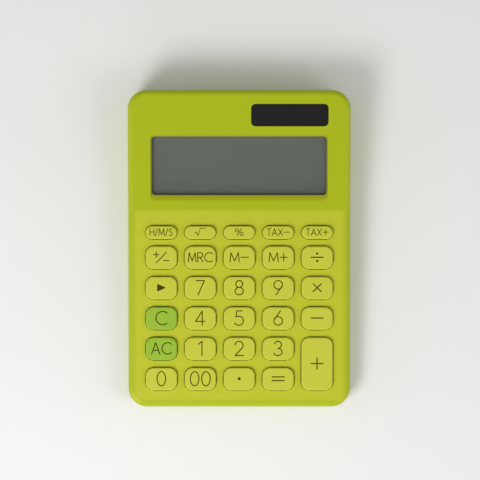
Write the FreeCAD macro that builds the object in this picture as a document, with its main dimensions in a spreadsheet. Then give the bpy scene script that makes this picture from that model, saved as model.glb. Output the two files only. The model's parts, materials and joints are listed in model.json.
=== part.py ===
import FreeCAD, Part
import math
import os

import Sketcher
from FreeCAD import Placement, Rotation, Vector

# Desk calculator with a sloping keypad and a steeper display section.
# Millimetres. +Z is up, +Y is the rear, the feet stand on z = 0 and the middle of the case is x = y = 0.

# Driving dimensions
SIZES = {
    # key field
    "column_pitch": 18.4,
    "row_pitch": 14.38,
    "first_row": 10.46,
    "small_row_pitch": 11.87,
    "side_border": 8.3,
    "front_border": 7.75,
    # keys
    "key_width": 14.8,
    "key_length": 10.8,
    "small_key_length": 6.2,
    "key_corner": 3.8,
    "key_rise": 1.6,
    "key_edge": 0.5,
    "key_roof": 1.4,
    "key_skirt": 2.0,
    "small_key_skirt": 1.4,
    "key_gap": 0.35,
    "key_travel": 1.2,
    "lip_gap": 0.1,
    "lip_thickness": 0.8,
    "lip_reach": 0.9,
    "lip_length": 4.0,
    "stem_side": 2.4,
    "stem_drop": 0.2,
    # case outside
    "keypad_rise": 4.55,
    "display_rise": 8.15,
    "crease_round": 8.0,
    "corner_round": 9.0,
    "top_round": 2.5,
    "bottom_edge": 1.2,
    "side_taper": 12.0,
    "part_line_height": 6.0,
    "foot_stand": 1.0,
    # case inside
    "case_wall": 1.8,
    "floor_wall": 1.8,
    "rim_fit": 0.15,
    "rim_thickness": 1.0,
    "rim_height": 1.2,
    # case screws, their bosses and towers
    "screw_side_inset": 4.4,
    "screw_end_inset": 12.75,
    "boss_diameter": 4.6,
    "tower_diameter": 6.4,
    "tower_fit": 0.25,
    "tower_web": 1.6,
    "screw_diameter": 2.2,
    "screw_fit": 0.1,
    "screw_length": 5.0,
    "screw_end_room": 0.5,
    "head_diameter": 3.8,
    "head_height": 1.5,
    "head_fit": 0.2,
    # rubber mat
    "dome_gap": 0.1,
    "dome_solid": 0.3,
    "dome_diameter": 6.0,
    "dome_edge": 0.9,
    "mat_thickness": 0.8,
    "mat_rear_border": 3.8,
    "mat_front_border": 1.25,
    "mat_hole_fit": 0.3,
    # circuit board and what is on it
    "board_thickness": 1.0,
    "board_side_border": 0.6,
    "board_rear_border": 4.3,
    "board_front_border": 1.75,
    "board_floor_room": 1.3,
    "post_diameter": 4.4,
    "small_screw_diameter": 1.6,
    "small_screw_length": 3.6,
    "small_screw_end_room": 0.2,
    "small_head_diameter": 3.2,
    "small_head_height": 0.9,
    "chip_diameter": 13.0,
    "chip_height": 1.4,
    "chip_edge": 1.0,
    "chip_from_crease": 36.0,
    "capacitor_diameter": 4.0,
    "capacitor_length": 7.0,
    "capacitor_across": 34.0,
    "capacitor_from_crease": 10.0,
    # display
    "opening_inset": 2.95,
    "opening_border": 7.1,
    "opening_length": 27.8,
    "opening_corner": 1.6,
    "bevel_front": 2.8,
    "bevel_rear": 1.4,
    "bevel_side": 0.6,
    "bevel_depth": 1.3,
    "bevel_over": 0.5,
    "window_margin": 2.5,
    "window_thickness": 1.2,
    "tape_thickness": 0.15,
    "tape_width": 1.6,
    "glass_margin": 1.8,
    "glass_thickness": 1.1,
    "glass_ledge": 2.4,
    "film_thickness": 0.2,
    "holder_thickness": 1.2,
    "holder_side": 7.25,
    "holder_end": 5.1,
    "holder_post_side": 4.75,
    "holder_post_end": 1.1,
    "holder_post_diameter": 3.6,
    "ribbon_width": 60.0,
    "ribbon_thickness": 0.2,
    "ribbon_lap": 2.0,
    # solar window and cell
    "solar_border": 4.9,
    "rear_border": 6.1,
    "solar_width": 36.4,
    "solar_length": 10.6,
    "solar_corner": 2.0,
    "solar_overhang": 0.75,
    "solar_fit": 0.1,
    "solar_recess": 0.25,
    "solar_flange": 1.2,
    "solar_flange_thickness": 1.0,
    "solar_cell_margin": 0.6,
    "solar_cell_thickness": 1.1,
    # button cell, its well, contacts and cover
    "cell_diameter": 11.6,
    "cell_height": 5.4,
    "cell_shoulder": 0.9,
    "cell_across": -24.0,
    "cell_from_crease": 27.75,
    "cell_fit": 0.4,
    "cell_gap": 0.1,
    "well_wall": 1.2,
    "cover_length": 25.0,
    "cover_width": 17.0,
    "cover_corner": 3.0,
    "cover_thickness": 1.6,
    "cover_fit": 0.25,
    "cover_shift": 3.75,
    "cover_screw_shift": 11.5,
    "cover_screw_length": 4.5,
    "cover_head_height": 0.8,
    "cover_boss_diameter": 4.6,
    "cover_boss_height": 3.2,
    "platform_margin": 2.2,
    "platform_web": 1.2,
    "tongue_width": 8.0,
    "tongue_reach": 1.5,
    "tongue_thickness": 0.7,
    "tongue_fit": 0.1,
    "contact_thickness": 0.3,
    "contact_width": 4.0,
    "contact_tab": 3.0,
    # leads
    "lead_diameter": 0.8,
    "lead_bend": 2.0,
    "lead_floor_room": 1.4,
    "lead_from_crease": 5.8,
    "lead_gap": 0.1,
    "solar_lead_pitch": 4.0,
    # stiffening ribs of the floor
    "rib_width": 1.2,
    "rib_height": 1.2,
    "rib_end_room": 7.5,
    # rubber feet
    "foot_diameter": 10.0,
    "foot_recess": 0.6,
    "foot_fit": 0.1,
    "foot_edge": 0.4,
    "foot_side_inset": 18.5,
    "foot_end_inset": 14.75,
}

# Keys of each row from left to right, first row at the crease
KEY_ROWS = [
    ["hms", "root", "percent", "tax_minus", "tax_plus"],
    ["sign", "memory_recall", "memory_minus", "memory_plus", "divide"],
    ["backspace", "7", "8", "9", "multiply"],
    ["clear", "4", "5", "6", "minus"],
    ["all_clear", "1", "2", "3"],
    ["0", "00", "point", "equals"],
]
COLUMNS = 5
ROWS = 6
MIDDLE_COLUMN = 2
# The tall key stands beside the last two rows
TALL_KEY = ("key_plus", 4, 4.5)
# Blocks of equal keys: kind, first column, first row, columns, rows
KEY_BLOCKS = [
    ("small", 0, 0, 5, 1),
    ("standard", 0, 1, 5, 3),
    ("standard", 0, 4, 4, 2),
    ("tall", TALL_KEY[1], TALL_KEY[2], 1, 1),
]
# Crossings of the gaps between keys that hold a post: column and row just left of and behind it
POST_CROSSINGS = [(0, 1), (3, 1), (0, 3), (3, 3), (1, 4), (2, 4)]
# Small rounds are drawn with few flat facets
QUARTER_FACETS = 3
PLAIN_SIDES = 6
FINE_SIDES = 12
# Two places this near count as the same when edges are picked
CLOSE = 0.001
# Numbers of the points of a sketch edge, and of the sketch origin
START, END, CENTRE = 1, 2, 3
ORIGIN = (-1, START)

doc = FreeCAD.newDocument("calculator")
sheet = doc.addObject("Spreadsheet::Sheet", "sizes")
for line, (alias, value) in enumerate(SIZES.items(), start=1):
    sheet.set(f"A{line}", alias.replace("_", " "))
    sheet.set(f"B{line}", str(value))
    sheet.setAlias(f"B{line}", alias)
doc.recompute()

# Depths below the keypad surface, as expressions on the sheet
LIP_BOTTOM = "(sizes.case_wall + sizes.lip_gap + sizes.lip_thickness)"
STEM_BOTTOM = f"({LIP_BOTTOM} + sizes.stem_drop)"
DOME_HEIGHT = "(sizes.key_travel + sizes.dome_solid)"
MAT_TOP = f"({STEM_BOTTOM} + sizes.dome_gap + {DOME_HEIGHT})"
BOARD_TOP = f"({MAT_TOP} + sizes.mat_thickness)"
BOARD_BOTTOM = f"({BOARD_TOP} + sizes.board_thickness)"
# Depths below the display surface
WINDOW_TOP = "(sizes.case_wall + sizes.tape_thickness)"
WINDOW_BOTTOM = f"({WINDOW_TOP} + sizes.window_thickness)"
GLASS_TOP = f"({WINDOW_BOTTOM} + sizes.film_thickness)"
GLASS_STEP = f"({GLASS_TOP} + sizes.glass_thickness)"
GLASS_BOTTOM = f"({GLASS_STEP} + sizes.glass_thickness)"
HOLDER_TOP = f"({GLASS_BOTTOM} + sizes.film_thickness)"
HOLDER_BOTTOM = f"({HOLDER_TOP} + sizes.holder_thickness)"
FLANGE_BOTTOM = "(sizes.case_wall + sizes.solar_flange_thickness)"
SOLAR_CELL_BOTTOM = f"({FLANGE_BOTTOM} + sizes.solar_cell_thickness)"
# Size of the case, worked out from what it holds
FIELD_WIDTH = f"({COLUMNS - 1} * sizes.column_pitch + sizes.key_width)"
LAST_ROW = f"(sizes.first_row + sizes.small_row_pitch + {ROWS - 2} * sizes.row_pitch)"
FIELD_END = f"({LAST_ROW} + sizes.key_length / 2)"
KEYPAD_RUN = f"({FIELD_END} + sizes.front_border)"
OPENING_WIDTH = f"({FIELD_WIDTH} - 2 * sizes.opening_inset)"
OPENING_MIDDLE = "(sizes.opening_border + sizes.opening_length / 2)"
SOLAR_MIDDLE = "(sizes.opening_border + sizes.opening_length + sizes.solar_border + sizes.solar_length / 2)"
SOLAR_X = f"({OPENING_WIDTH} / 2 + sizes.solar_overhang - sizes.solar_width / 2)"
DISPLAY_RUN = f"({SOLAR_MIDDLE} + sizes.solar_length / 2 + sizes.rear_border)"
BODY_WIDTH = f"({FIELD_WIDTH} + 2 * sizes.side_border)"
BODY_DEPTH = f"({KEYPAD_RUN} + {DISPLAY_RUN})"
FLOOR_TOP = "(sizes.foot_stand + sizes.floor_wall)"
FRONT_HEIGHT = f"({FLOOR_TOP} + sizes.board_floor_room + {BOARD_BOTTOM})"
CREASE_HEIGHT = f"({FRONT_HEIGHT} + sizes.keypad_rise)"
REAR_HEIGHT = f"({CREASE_HEIGHT} + sizes.display_rise)"
CREASE_Y = f"({KEYPAD_RUN} - {BODY_DEPTH} / 2)"
KEYPAD_TILT = f"atan2(sizes.keypad_rise; {KEYPAD_RUN})"
DISPLAY_TILT = f"atan2(sizes.display_rise; {DISPLAY_RUN})"
# Case screws stand in two columns and three rows
SCREW_X = f"({BODY_WIDTH} / 2 - sizes.screw_side_inset)"
SCREW_Y = f"({BODY_DEPTH} / 2 - sizes.screw_end_inset)"
SCREW_WEB = "(sizes.part_line_height - sizes.tower_web)"
FOOT_X = f"({BODY_WIDTH} / 2 - sizes.foot_side_inset)"
FOOT_Y = f"({BODY_DEPTH} / 2 - sizes.foot_end_inset)"
# Posts of the display holder
HOLDER_POST_ACROSS = f"({OPENING_WIDTH} + 2 * sizes.holder_post_side)"
HOLDER_POST_ALONG = "(sizes.opening_length + 2 * sizes.holder_post_end)"
# Battery heights and places
COVER_TOP = "(sizes.foot_stand + sizes.cover_thickness)"
PLATFORM_TOP = f"({COVER_TOP} + sizes.platform_web)"
CELL_BOTTOM = f"({COVER_TOP} + sizes.cell_gap)"
CELL_TOP = f"({CELL_BOTTOM} + sizes.cell_height)"
WELL_TOP = f"({CELL_TOP} + sizes.cell_gap)"
WELL_DIAMETER = "(sizes.cell_diameter + 2 * sizes.cell_fit)"
WELL_OUTSIDE = f"({WELL_DIAMETER} + 2 * sizes.well_wall)"
CELL_Y = f"({CREASE_Y} + sizes.cell_from_crease)"
COVER_X = "(sizes.cell_across + sizes.cover_shift)"
COVER_SCREW_X = "(sizes.cell_across + sizes.cover_screw_shift)"


def evaluate(expression):
    """Number that an expression on the sheet gives now."""
    result = sheet.evalExpression(expression)
    return float(getattr(result, "Value", result))


def at(x="0", y="0", z="0", tilt="0"):
    """A place: a point and a tilt about the X axis, as expressions."""
    return {"x": x, "y": y, "z": z, "tilt": tilt}


def on_slope(tilt, across, along, depth):
    """A place on a sloping face: along runs up the slope from the crease, depth goes into the case."""
    y = f"{CREASE_Y} + ({along}) * cos({tilt}) + ({depth}) * sin({tilt})"
    z = f"{CREASE_HEIGHT} + ({along}) * sin({tilt}) - ({depth}) * cos({tilt})"
    return at(across, y, z, tilt)


def on_keypad(across, along, depth="0"):
    return on_slope(KEYPAD_TILT, across, along, depth)


def on_display(across, along, depth="0"):
    return on_slope(DISPLAY_TILT, across, along, depth)


def bind_place(item, name, place):
    """Give a placement property its value now and tie it to the sheet; no turn at all would lose the axis."""
    base = Vector(*(evaluate(place[axis]) for axis in "xyz"))
    setattr(item, name, Placement(base, Rotation(Vector(1, 0, 0), evaluate(place["tilt"]) or 1)))
    for axis in "xyz":
        item.setExpression(f"{name}.Base.{axis}", place[axis])
    item.setExpression(f"{name}.Rotation.Angle", place["tilt"])


def new_body(label, place=None):
    body = doc.addObject("PartDesign::Body", label)
    body.Label = label
    body.AllowCompound = True
    if place:
        bind_place(body, "Placement", place)
    return body


def new_sketch(body, place, plane="XY_Plane"):
    sketch = body.newObject("Sketcher::SketchObject", f"{body.Name}_sketch")
    support = next(item for item in body.Origin.OriginFeatures if item.Role == plane)
    sketch.AttachmentSupport = (support, [""])
    sketch.MapMode = "FlatFace"
    bind_place(sketch, "AttachmentOffset", place)
    return sketch


def hold(sketch, kind, *points):
    """Add a constraint without a size to a sketch."""
    sketch.addConstraint(Sketcher.Constraint(kind, *points))


def tie(sketch, kind, points, expression):
    """Add a dimension between points of a sketch and tie it to the sheet."""
    number = sketch.addConstraint(Sketcher.Constraint(kind, *points, evaluate(expression)))
    sketch.setExpression(f"Constraints[{number}]", expression)


def tie_point(sketch, edge, point, x, y):
    """Hold one point of an edge at a place tied to the sheet."""
    tie(sketch, "DistanceX", (*ORIGIN, edge, point), x)
    tie(sketch, "DistanceY", (*ORIGIN, edge, point), y)


def spot(x, y):
    return Vector(evaluate(x), evaluate(y), 0)


def arc(centre, radius, start, end):
    """Arc about a centre between two angles in degrees."""
    whole = Part.Circle(centre, Vector(0, 0, 1), radius)
    return Part.ArcOfCircle(whole, math.radians(start), math.radians(end))


def chain(sketch, corners, closed):
    """Straight edges from corner to corner, with every corner tied to the sheet."""
    spots = [spot(x, y) for x, y in corners]
    ends = list(zip(spots, spots[1:]))
    if closed:
        ends.append((spots[-1], spots[0]))
    lines = [sketch.addGeometry(Part.LineSegment(*pair), False) for pair in ends]
    for edge, after in zip(lines, lines[1:]):
        hold(sketch, "Coincident", edge, END, after, START)
    for edge, corner in zip(lines, corners):
        tie_point(sketch, edge, START, *corner)
    if closed:
        hold(sketch, "Coincident", lines[-1], END, lines[0], START)
    else:
        tie_point(sketch, lines[-1], END, *corners[-1])


def polygon(sketch, corners):
    chain(sketch, corners, closed=True)


def turn(x, y, radius, first, last, facets):
    """Corners of the flat facets that follow an arc about a centre."""
    angles = [first + (last - first) * step / facets for step in range(facets + 1)]
    return [(f"{x} + ({radius}) * cos({angle})", f"{y} + ({radius}) * sin({angle})") for angle in angles]


def rectangle(sketch, width, length, x="0", y="0"):
    left, right = f"{x} - ({width}) / 2", f"{x} + ({width}) / 2"
    front, rear = f"{y} - ({length}) / 2", f"{y} + ({length}) / 2"
    polygon(sketch, [(left, front), (right, front), (right, rear), (left, rear)])


def soft_rectangle(sketch, width, length, corner, front=None, rear=None):
    """Rectangle with faceted round corners; front and rear may differ from half the length."""
    side = f"(({width}) / 2 - ({corner}))"
    near = f"({front or f'({length}) / 2'} - ({corner}))"
    far = f"({rear or f'({length}) / 2'} - ({corner}))"
    corners = []
    centres = [(side, far), (f"-{side}", far), (f"-{side}", f"-{near}"), (side, f"-{near}")]
    for quarter, (x, y) in enumerate(centres):
        corners += turn(x, y, corner, 90 * quarter, 90 * quarter + 90, QUARTER_FACETS)
    polygon(sketch, corners)


def pill(sketch, width, length):
    """Outline with two straight edges and fully round, faceted ends."""
    radius = f"({length}) / 2"
    reach = f"(({width}) / 2 - {radius})"
    right_end = turn(reach, "0", radius, -90, 90, 2 * QUARTER_FACETS)
    left_end = turn(f"-{reach}", "0", radius, 90, 270, 2 * QUARTER_FACETS)
    polygon(sketch, right_end + left_end)


def bar(sketch, diameter, sides, x="0", y="0"):
    """Round bar drawn with flat sides, all inside its diameter."""
    polygon(sketch, turn(x, y, f"{diameter} / 2", 0, 360, sides)[:-1])


def bore(sketch, diameter, sides, x="0", y="0"):
    """Round hole drawn with flat sides, all outside its diameter."""
    polygon(sketch, turn(x, y, f"{diameter} / 2 / cos({180 / sides})", 0, 360, sides)[:-1])


def plan_outline(sketch):
    """Outline of the case from above, with true arcs at its corners."""
    across = f"({BODY_WIDTH} / 2 - sizes.corner_round)"
    along = f"({BODY_DEPTH} / 2 - sizes.corner_round)"
    centres = [(across, f"-{along}"), (across, along), (f"-{across}", along), (f"-{across}", f"-{along}")]
    corners = []
    for quarter, centre in enumerate(centres):
        start = 90 * quarter - 90
        quarter_round = arc(spot(*centre), evaluate("sizes.corner_round"), start, start + 90)
        edge = sketch.addGeometry(quarter_round, False)
        tie_point(sketch, edge, CENTRE, *centre)
        tie(sketch, "Radius", (edge,), "sizes.corner_round")
        corners.append(edge)
    for corner, after in zip(corners, corners[1:] + corners[:1]):
        ends = (sketch.Geometry[corner].EndPoint, sketch.Geometry[after].StartPoint)
        side = sketch.addGeometry(Part.LineSegment(*ends), False)
        hold(sketch, "Tangent", corner, END, side, START)
        hold(sketch, "Tangent", side, END, after, START)


def inset_outline(sketch, inset):
    """Outline of the case from above, moved inwards."""
    soft_rectangle(sketch, f"({BODY_WIDTH} - 2 * {inset})", f"({BODY_DEPTH} - 2 * {inset})",
                   f"sizes.corner_round - {inset}")


def extrude(body, kind, sketch, length, upward, taper=None):
    """Pad or pocket a sketch; upward follows the sketch's own normal."""
    feature = body.newObject(f"PartDesign::{kind}", f"{body.Name}_{kind.lower()}")
    feature.Profile = sketch
    feature.Reversed = upward != (kind == "Pad")
    feature.setExpression("Length", length)
    if taper:
        feature.setExpression("TaperAngle", taper)
    body.Tip = feature
    return feature


def pad(body, sketch, length, upward=True, taper=None):
    return extrude(body, "Pad", sketch, length, upward, taper)


def pocket(body, sketch, length, upward=False):
    return extrude(body, "Pocket", sketch, length, upward)


def pad_both_ways(body, sketch, length):
    feature = pad(body, sketch, length)
    feature.SideType = "Symmetric"
    return feature


def repeat(body, feature, columns, across, rows=1, along="0", backward=False):
    """Repeat a feature in columns and rows along the axes of its own sketch."""
    sketch = feature.Profile[0]
    pattern = body.newObject("PartDesign::LinearPattern", f"{body.Name}_pattern")
    pattern.Originals = [feature]
    pattern.Direction = (sketch, ["H_Axis"])
    pattern.Occurrences = columns
    pattern.setExpression("Length", f"{columns - 1} * {across}")
    if rows > 1:
        pattern.Direction2 = (sketch, ["V_Axis"])
        pattern.Occurrences2 = rows
        pattern.Reversed2 = backward
        pattern.setExpression("Length2", f"{rows - 1} * {along}")
    body.Tip = pattern
    return pattern


def blend(body, kind, size, test):
    """Fillet or chamfer the edges of the body so far that pass a test."""
    base = body.Tip
    doc.recompute([base])
    shape = base.Shape
    names = [f"Edge{number}" for number, edge in enumerate(shape.Edges, start=1) if test(shape, edge)]
    feature = body.newObject(f"PartDesign::{kind}", f"{body.Name}_{kind.lower()}")
    feature.Base = (base, names)
    feature.setExpression("Radius" if kind == "Fillet" else "Size", size)
    body.Tip = feature
    return feature


def is_upright(shape, edge):
    low, high = edge.Vertexes[0].Point, edge.Vertexes[-1].Point
    return abs(low.x - high.x) + abs(low.y - high.y) < CLOSE


def faces_up(face):
    u_low, u_high, v_low, v_high = face.ParameterRange
    return face.normalAt((u_low + u_high) / 2, (v_low + v_high) / 2).z > 0.7


def is_top_border(shape, edge):
    neighbours = [faces_up(face) for face in shape.ancestorsOfType(edge, Part.Face)]
    return neighbours.count(True) == 1 and len(neighbours) == 2


def is_level_at(height):
    """Test for edges that lie flat at a height given by an expression."""
    level = evaluate(height)

    def test(shape, edge):
        return all(abs(end.Point.z - level) < CLOSE for end in edge.Vertexes)
    return test


def key_across(column):
    return f"{column - MIDDLE_COLUMN} * sizes.column_pitch"


def key_along(row):
    """Distance of a row from the crease, along the slope, towards the rear."""
    if row == 0:
        return "-sizes.first_row"
    return f"-(sizes.first_row + sizes.small_row_pitch + {row - 1} * sizes.row_pitch)"


def key_size(kind):
    """Length of a key of one kind and the thickness of its skirt."""
    return {
        "small": ("sizes.small_key_length", "sizes.small_key_skirt"),
        "standard": ("sizes.key_length", "sizes.key_skirt"),
        "tall": ("(sizes.key_length + sizes.row_pitch)", "sizes.key_skirt"),
    }[kind]


def key_outline(sketch, kind, grow="0"):
    """Outline of a key of one kind, grown by the gap round it for its opening."""
    width = f"(sizes.key_width + 2 * {grow})"
    length = f"({key_size(kind)[0]} + 2 * {grow})"
    if kind == "small":
        pill(sketch, width, length)
    else:
        soft_rectangle(sketch, width, length, f"sizes.key_corner + {grow}")


def over_keys(body, place, make_feature):
    """Make one feature per block of keys, at the first key of the block, and repeat it over the block."""
    for kind, column, row, columns, rows in KEY_BLOCKS:
        sketch = new_sketch(body, place(key_across(column), key_along(row)))
        feature = make_feature(body, sketch, kind)
        if columns > 1:
            repeat(body, feature, columns, "sizes.column_pitch", rows, "sizes.row_pitch", backward=True)


def key_form(kind):
    """Moulded key cap with a hollow underside, a stem on its dome and two lips under the case."""
    body = new_body(f"{kind}_key_form")
    length, skirt = key_size(kind)
    skirt_bottom = at(z=f"-{LIP_BOTTOM}")
    outline = new_sketch(body, skirt_bottom)
    key_outline(outline, kind)
    pad(body, outline, f"{LIP_BOTTOM} + sizes.key_rise")
    blend(body, "Chamfer", "sizes.key_edge", is_level_at("sizes.key_rise"))
    hollow = new_sketch(body, skirt_bottom)
    rectangle(hollow, f"(sizes.key_width - 2 * {skirt})", f"({length} - 2 * {skirt})")
    hollow_top = "sizes.key_rise - sizes.key_roof"
    pocket(body, hollow, f"{LIP_BOTTOM} + {hollow_top}", upward=True)
    stem = new_sketch(body, at(z=f"-{STEM_BOTTOM}"))
    rectangle(stem, "sizes.stem_side", "sizes.stem_side")
    pad(body, stem, f"{STEM_BOTTOM} + {hollow_top}")
    lips = new_sketch(body, skirt_bottom)
    lip_width = f"(sizes.lip_reach + {skirt} / 2)"
    lip_middle = f"(sizes.key_width / 2 + sizes.lip_reach - {lip_width} / 2)"
    for side in ("-", ""):
        rectangle(lips, lip_width, "sizes.lip_length", f"{side}{lip_middle}")
    pad(body, lips, "sizes.lip_thickness")
    return body


def all_keys():
    """One separate key for every place of the layout, each a copy of the form of its kind."""
    forms = {kind: key_form(kind) for kind in ("small", "standard", "tall")}
    places = [(f"key_{name}", "small" if row == 0 else "standard", column, row)
              for row, names in enumerate(KEY_ROWS) for column, name in enumerate(names)]
    label, column, row = TALL_KEY
    places.append((label, "tall", column, row))
    keys = []
    for label, kind, column, row in places:
        body = new_body(label, on_keypad(key_across(column), key_along(row)))
        body.BaseFeature = forms[kind]
        keys.append(body)
    return keys


def case_profile(sketch, inset, bottom):
    """Side view of the case moved inwards by an inset: two slopes that meet in a round valley."""
    half_depth = f"({BODY_DEPTH} / 2 - {inset})"
    front_drop = f"({inset} / cos({KEYPAD_TILT}) - {inset} * tan({KEYPAD_TILT}))"
    rear_drop = f"({inset} / cos({DISPLAY_TILT}) + {inset} * tan({DISPLAY_TILT}))"
    corners = [
        (f"-{half_depth}", bottom),
        (half_depth, bottom),
        (half_depth, f"({REAR_HEIGHT} - {rear_drop})"),
        (f"-{half_depth}", f"({FRONT_HEIGHT} - {front_drop})"),
    ]
    mean_tilt = f"(({KEYPAD_TILT} + {DISPLAY_TILT}) / 2)"
    centre_height = f"(sizes.crease_round / cos(({DISPLAY_TILT} - {KEYPAD_TILT}) / 2))"
    centre = (f"{CREASE_Y} - {centre_height} * sin({mean_tilt})",
              f"{CREASE_HEIGHT} + {centre_height} * cos({mean_tilt})")
    radius = f"(sizes.crease_round + {inset})"
    valley_arc = arc(spot(*centre), evaluate(radius), evaluate(KEYPAD_TILT) - 90, evaluate(DISPLAY_TILT) - 90)
    near_low, far_low, far_high, near_high = (spot(*corner) for corner in corners)
    base, rear, display, keypad, front = (sketch.addGeometry(Part.LineSegment(*ends), False) for ends in [
        (near_low, far_low), (far_low, far_high), (far_high, valley_arc.EndPoint),
        (valley_arc.StartPoint, near_high), (near_high, near_low)])
    valley = sketch.addGeometry(valley_arc, False)
    for edge, after in ((base, rear), (rear, display), (keypad, front), (front, base)):
        hold(sketch, "Coincident", edge, END, after, START)
    hold(sketch, "Tangent", display, END, valley, END)
    hold(sketch, "Tangent", valley, START, keypad, START)
    for edge, corner in zip((base, rear, display, front), corners):
        tie_point(sketch, edge, START, *corner)
    tie_point(sketch, valley, CENTRE, *centre)
    tie(sketch, "Radius", (valley,), radius)


def case_block(label, inset, bottom):
    """Solid with the outside form of the upper case, moved inwards by an inset."""
    body = new_body(label)
    profile = new_sketch(body, at(), "YZ_Plane")
    case_profile(profile, inset, bottom)
    pad_both_ways(body, profile, f"{BODY_WIDTH} - 2 * {inset}")
    blend(body, "Fillet", f"sizes.corner_round - {inset}", is_upright)
    return body


def at_case_screws(body, make, outline, diameter, sides, height, length, upward):
    """One round feature at each of the six case screws, repeated from the front left one."""
    sketch = new_sketch(body, at(f"-{SCREW_X}", f"-{SCREW_Y}", height))
    outline(sketch, diameter, sides)
    repeat(body, make(body, sketch, length, upward), 2, f"2 * {SCREW_X}", 3, SCREW_Y)


def round_posts(sketch, outline, diameter):
    """One round outline at every post between the keys."""
    for column, row in POST_CROSSINGS:
        outline(sketch, diameter, PLAIN_SIDES, key_across(column + 0.5), key_along(row + 0.5))


def at_posts(body, make, outline, diameter, depth, length, upward):
    """One round feature at every post between the keys."""
    sketch = new_sketch(body, on_keypad("0", "0", depth))
    round_posts(sketch, outline, diameter)
    make(body, sketch, length, upward)


def at_holder_posts(body, make, outline, diameter, depth, length, upward):
    """One round feature at each post of the display holder, repeated from the front left one."""
    first = on_display(f"-{HOLDER_POST_ACROSS} / 2", f"{OPENING_MIDDLE} - {HOLDER_POST_ALONG} / 2", depth)
    sketch = new_sketch(body, first)
    outline(sketch, diameter, PLAIN_SIDES)
    repeat(body, make(body, sketch, length, upward), 2, HOLDER_POST_ACROSS, 2, HOLDER_POST_ALONG)


def key_opening(body, sketch, kind):
    key_outline(sketch, kind, "sizes.key_gap")
    return pocket(body, sketch, "2 * sizes.case_wall")


def display_bevel(body):
    """Sloping border of the display opening, wide below the display and narrow above it."""
    low = new_sketch(body, on_display("0", OPENING_MIDDLE, "sizes.bevel_depth"))
    soft_rectangle(low, OPENING_WIDTH, "sizes.opening_length", "sizes.opening_corner")
    high = new_sketch(body, on_display("0", OPENING_MIDDLE, "-sizes.bevel_over"))
    grow = "(1 + sizes.bevel_over / sizes.bevel_depth)"
    half = "sizes.opening_length / 2"
    soft_rectangle(high, f"({OPENING_WIDTH} + 2 * sizes.bevel_side * {grow})", "sizes.opening_length",
                   f"sizes.opening_corner + sizes.bevel_side * {grow}",
                   f"({half} + sizes.bevel_front * {grow})", f"({half} + sizes.bevel_rear * {grow})")
    loft = body.newObject("PartDesign::SubtractiveLoft", "display_bevel")
    loft.Profile = low
    loft.Sections = [high]
    loft.Ruled = True
    body.Tip = loft


def upper_shell():
    """Upper case without its openings: the outside form less a cavity that leaves bosses and posts solid."""
    block = case_block("upper_block", "0", "sizes.part_line_height")
    blend(block, "Fillet", "sizes.top_round", is_top_border)
    cavity = case_block("upper_cavity", "sizes.case_wall", "sizes.foot_stand")
    at_case_screws(cavity, pocket, bar, "sizes.boss_diameter", PLAIN_SIDES, "0", REAR_HEIGHT, True)
    at_posts(cavity, pocket, bar, "sizes.post_diameter", BOARD_TOP, REAR_HEIGHT, True)
    at_holder_posts(cavity, pocket, bar, "sizes.holder_post_diameter", HOLDER_TOP, REAR_HEIGHT, True)
    shell = doc.addObject("Part::Cut", "upper_shell")
    shell.Base = block
    shell.Tool = cavity
    return shell


def upper_case():
    """Moulded upper case with its screw holes, display opening, solar opening and key openings."""
    body = new_body("upper_case")
    body.BaseFeature = upper_shell()
    pilot = "(sizes.screw_diameter + sizes.screw_fit)"
    at_case_screws(body, pocket, bore, pilot, PLAIN_SIDES, "sizes.part_line_height",
                   "sizes.screw_length - sizes.tower_web + sizes.screw_end_room", True)
    pilot = "(sizes.small_screw_diameter + sizes.screw_fit)"
    reach = "sizes.small_screw_length + sizes.small_screw_end_room"
    at_posts(body, pocket, bore, pilot, BOARD_TOP, f"{reach} - sizes.board_thickness", True)
    at_holder_posts(body, pocket, bore, pilot, HOLDER_TOP, f"{reach} - sizes.holder_thickness", True)
    display = new_sketch(body, on_display("0", OPENING_MIDDLE))
    soft_rectangle(display, OPENING_WIDTH, "sizes.opening_length", "sizes.opening_corner")
    pocket(body, display, "2 * sizes.case_wall")
    display_bevel(body)
    solar = new_sketch(body, on_display(SOLAR_X, SOLAR_MIDDLE))
    solar_outline(solar, "0")
    pocket(body, solar, "2 * sizes.case_wall")
    over_keys(body, on_keypad, key_opening)
    return body


def lower_case():
    """Tray with a rim that enters the upper case, screw towers, battery well and foot recesses."""
    body = new_body("lower_case")
    plan = new_sketch(body, at(z="sizes.part_line_height"))
    plan_outline(plan)
    pad(body, plan, "sizes.part_line_height - sizes.foot_stand", upward=False, taper="-sizes.side_taper")
    blend(body, "Chamfer", "sizes.bottom_edge", is_level_at("sizes.foot_stand"))
    rim = new_sketch(body, at(z="sizes.part_line_height"))
    inset_outline(rim, "(sizes.case_wall + sizes.rim_fit)")
    pad(body, rim, "sizes.rim_height")
    rim_top = "(sizes.part_line_height + sizes.rim_height)"
    hollow = new_sketch(body, at(z=rim_top))
    inset_outline(hollow, "(sizes.case_wall + sizes.rim_fit + sizes.rim_thickness)")
    pocket(body, hollow, f"{rim_top} - {FLOOR_TOP}")
    battery_well(body)
    ribs = new_sketch(body, at("-sizes.column_pitch", f"{CREASE_Y} - {KEYPAD_RUN} / 2", FLOOR_TOP))
    rectangle(ribs, "sizes.rib_width", f"({KEYPAD_RUN} - 2 * sizes.rib_end_room)")
    repeat(body, pad(body, ribs, "sizes.rib_height"), 2, "2 * sizes.column_pitch")
    recess = new_sketch(body, at(f"-{FOOT_X}", f"-{FOOT_Y}", "sizes.foot_stand + sizes.foot_recess"))
    bore(recess, "(sizes.foot_diameter + 2 * sizes.foot_fit)", FINE_SIDES)
    repeat(body, pocket(body, recess, "sizes.foot_recess"), 2, f"2 * {FOOT_X}", 2, f"2 * {FOOT_Y}")
    screw_towers(body)
    return body


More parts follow.
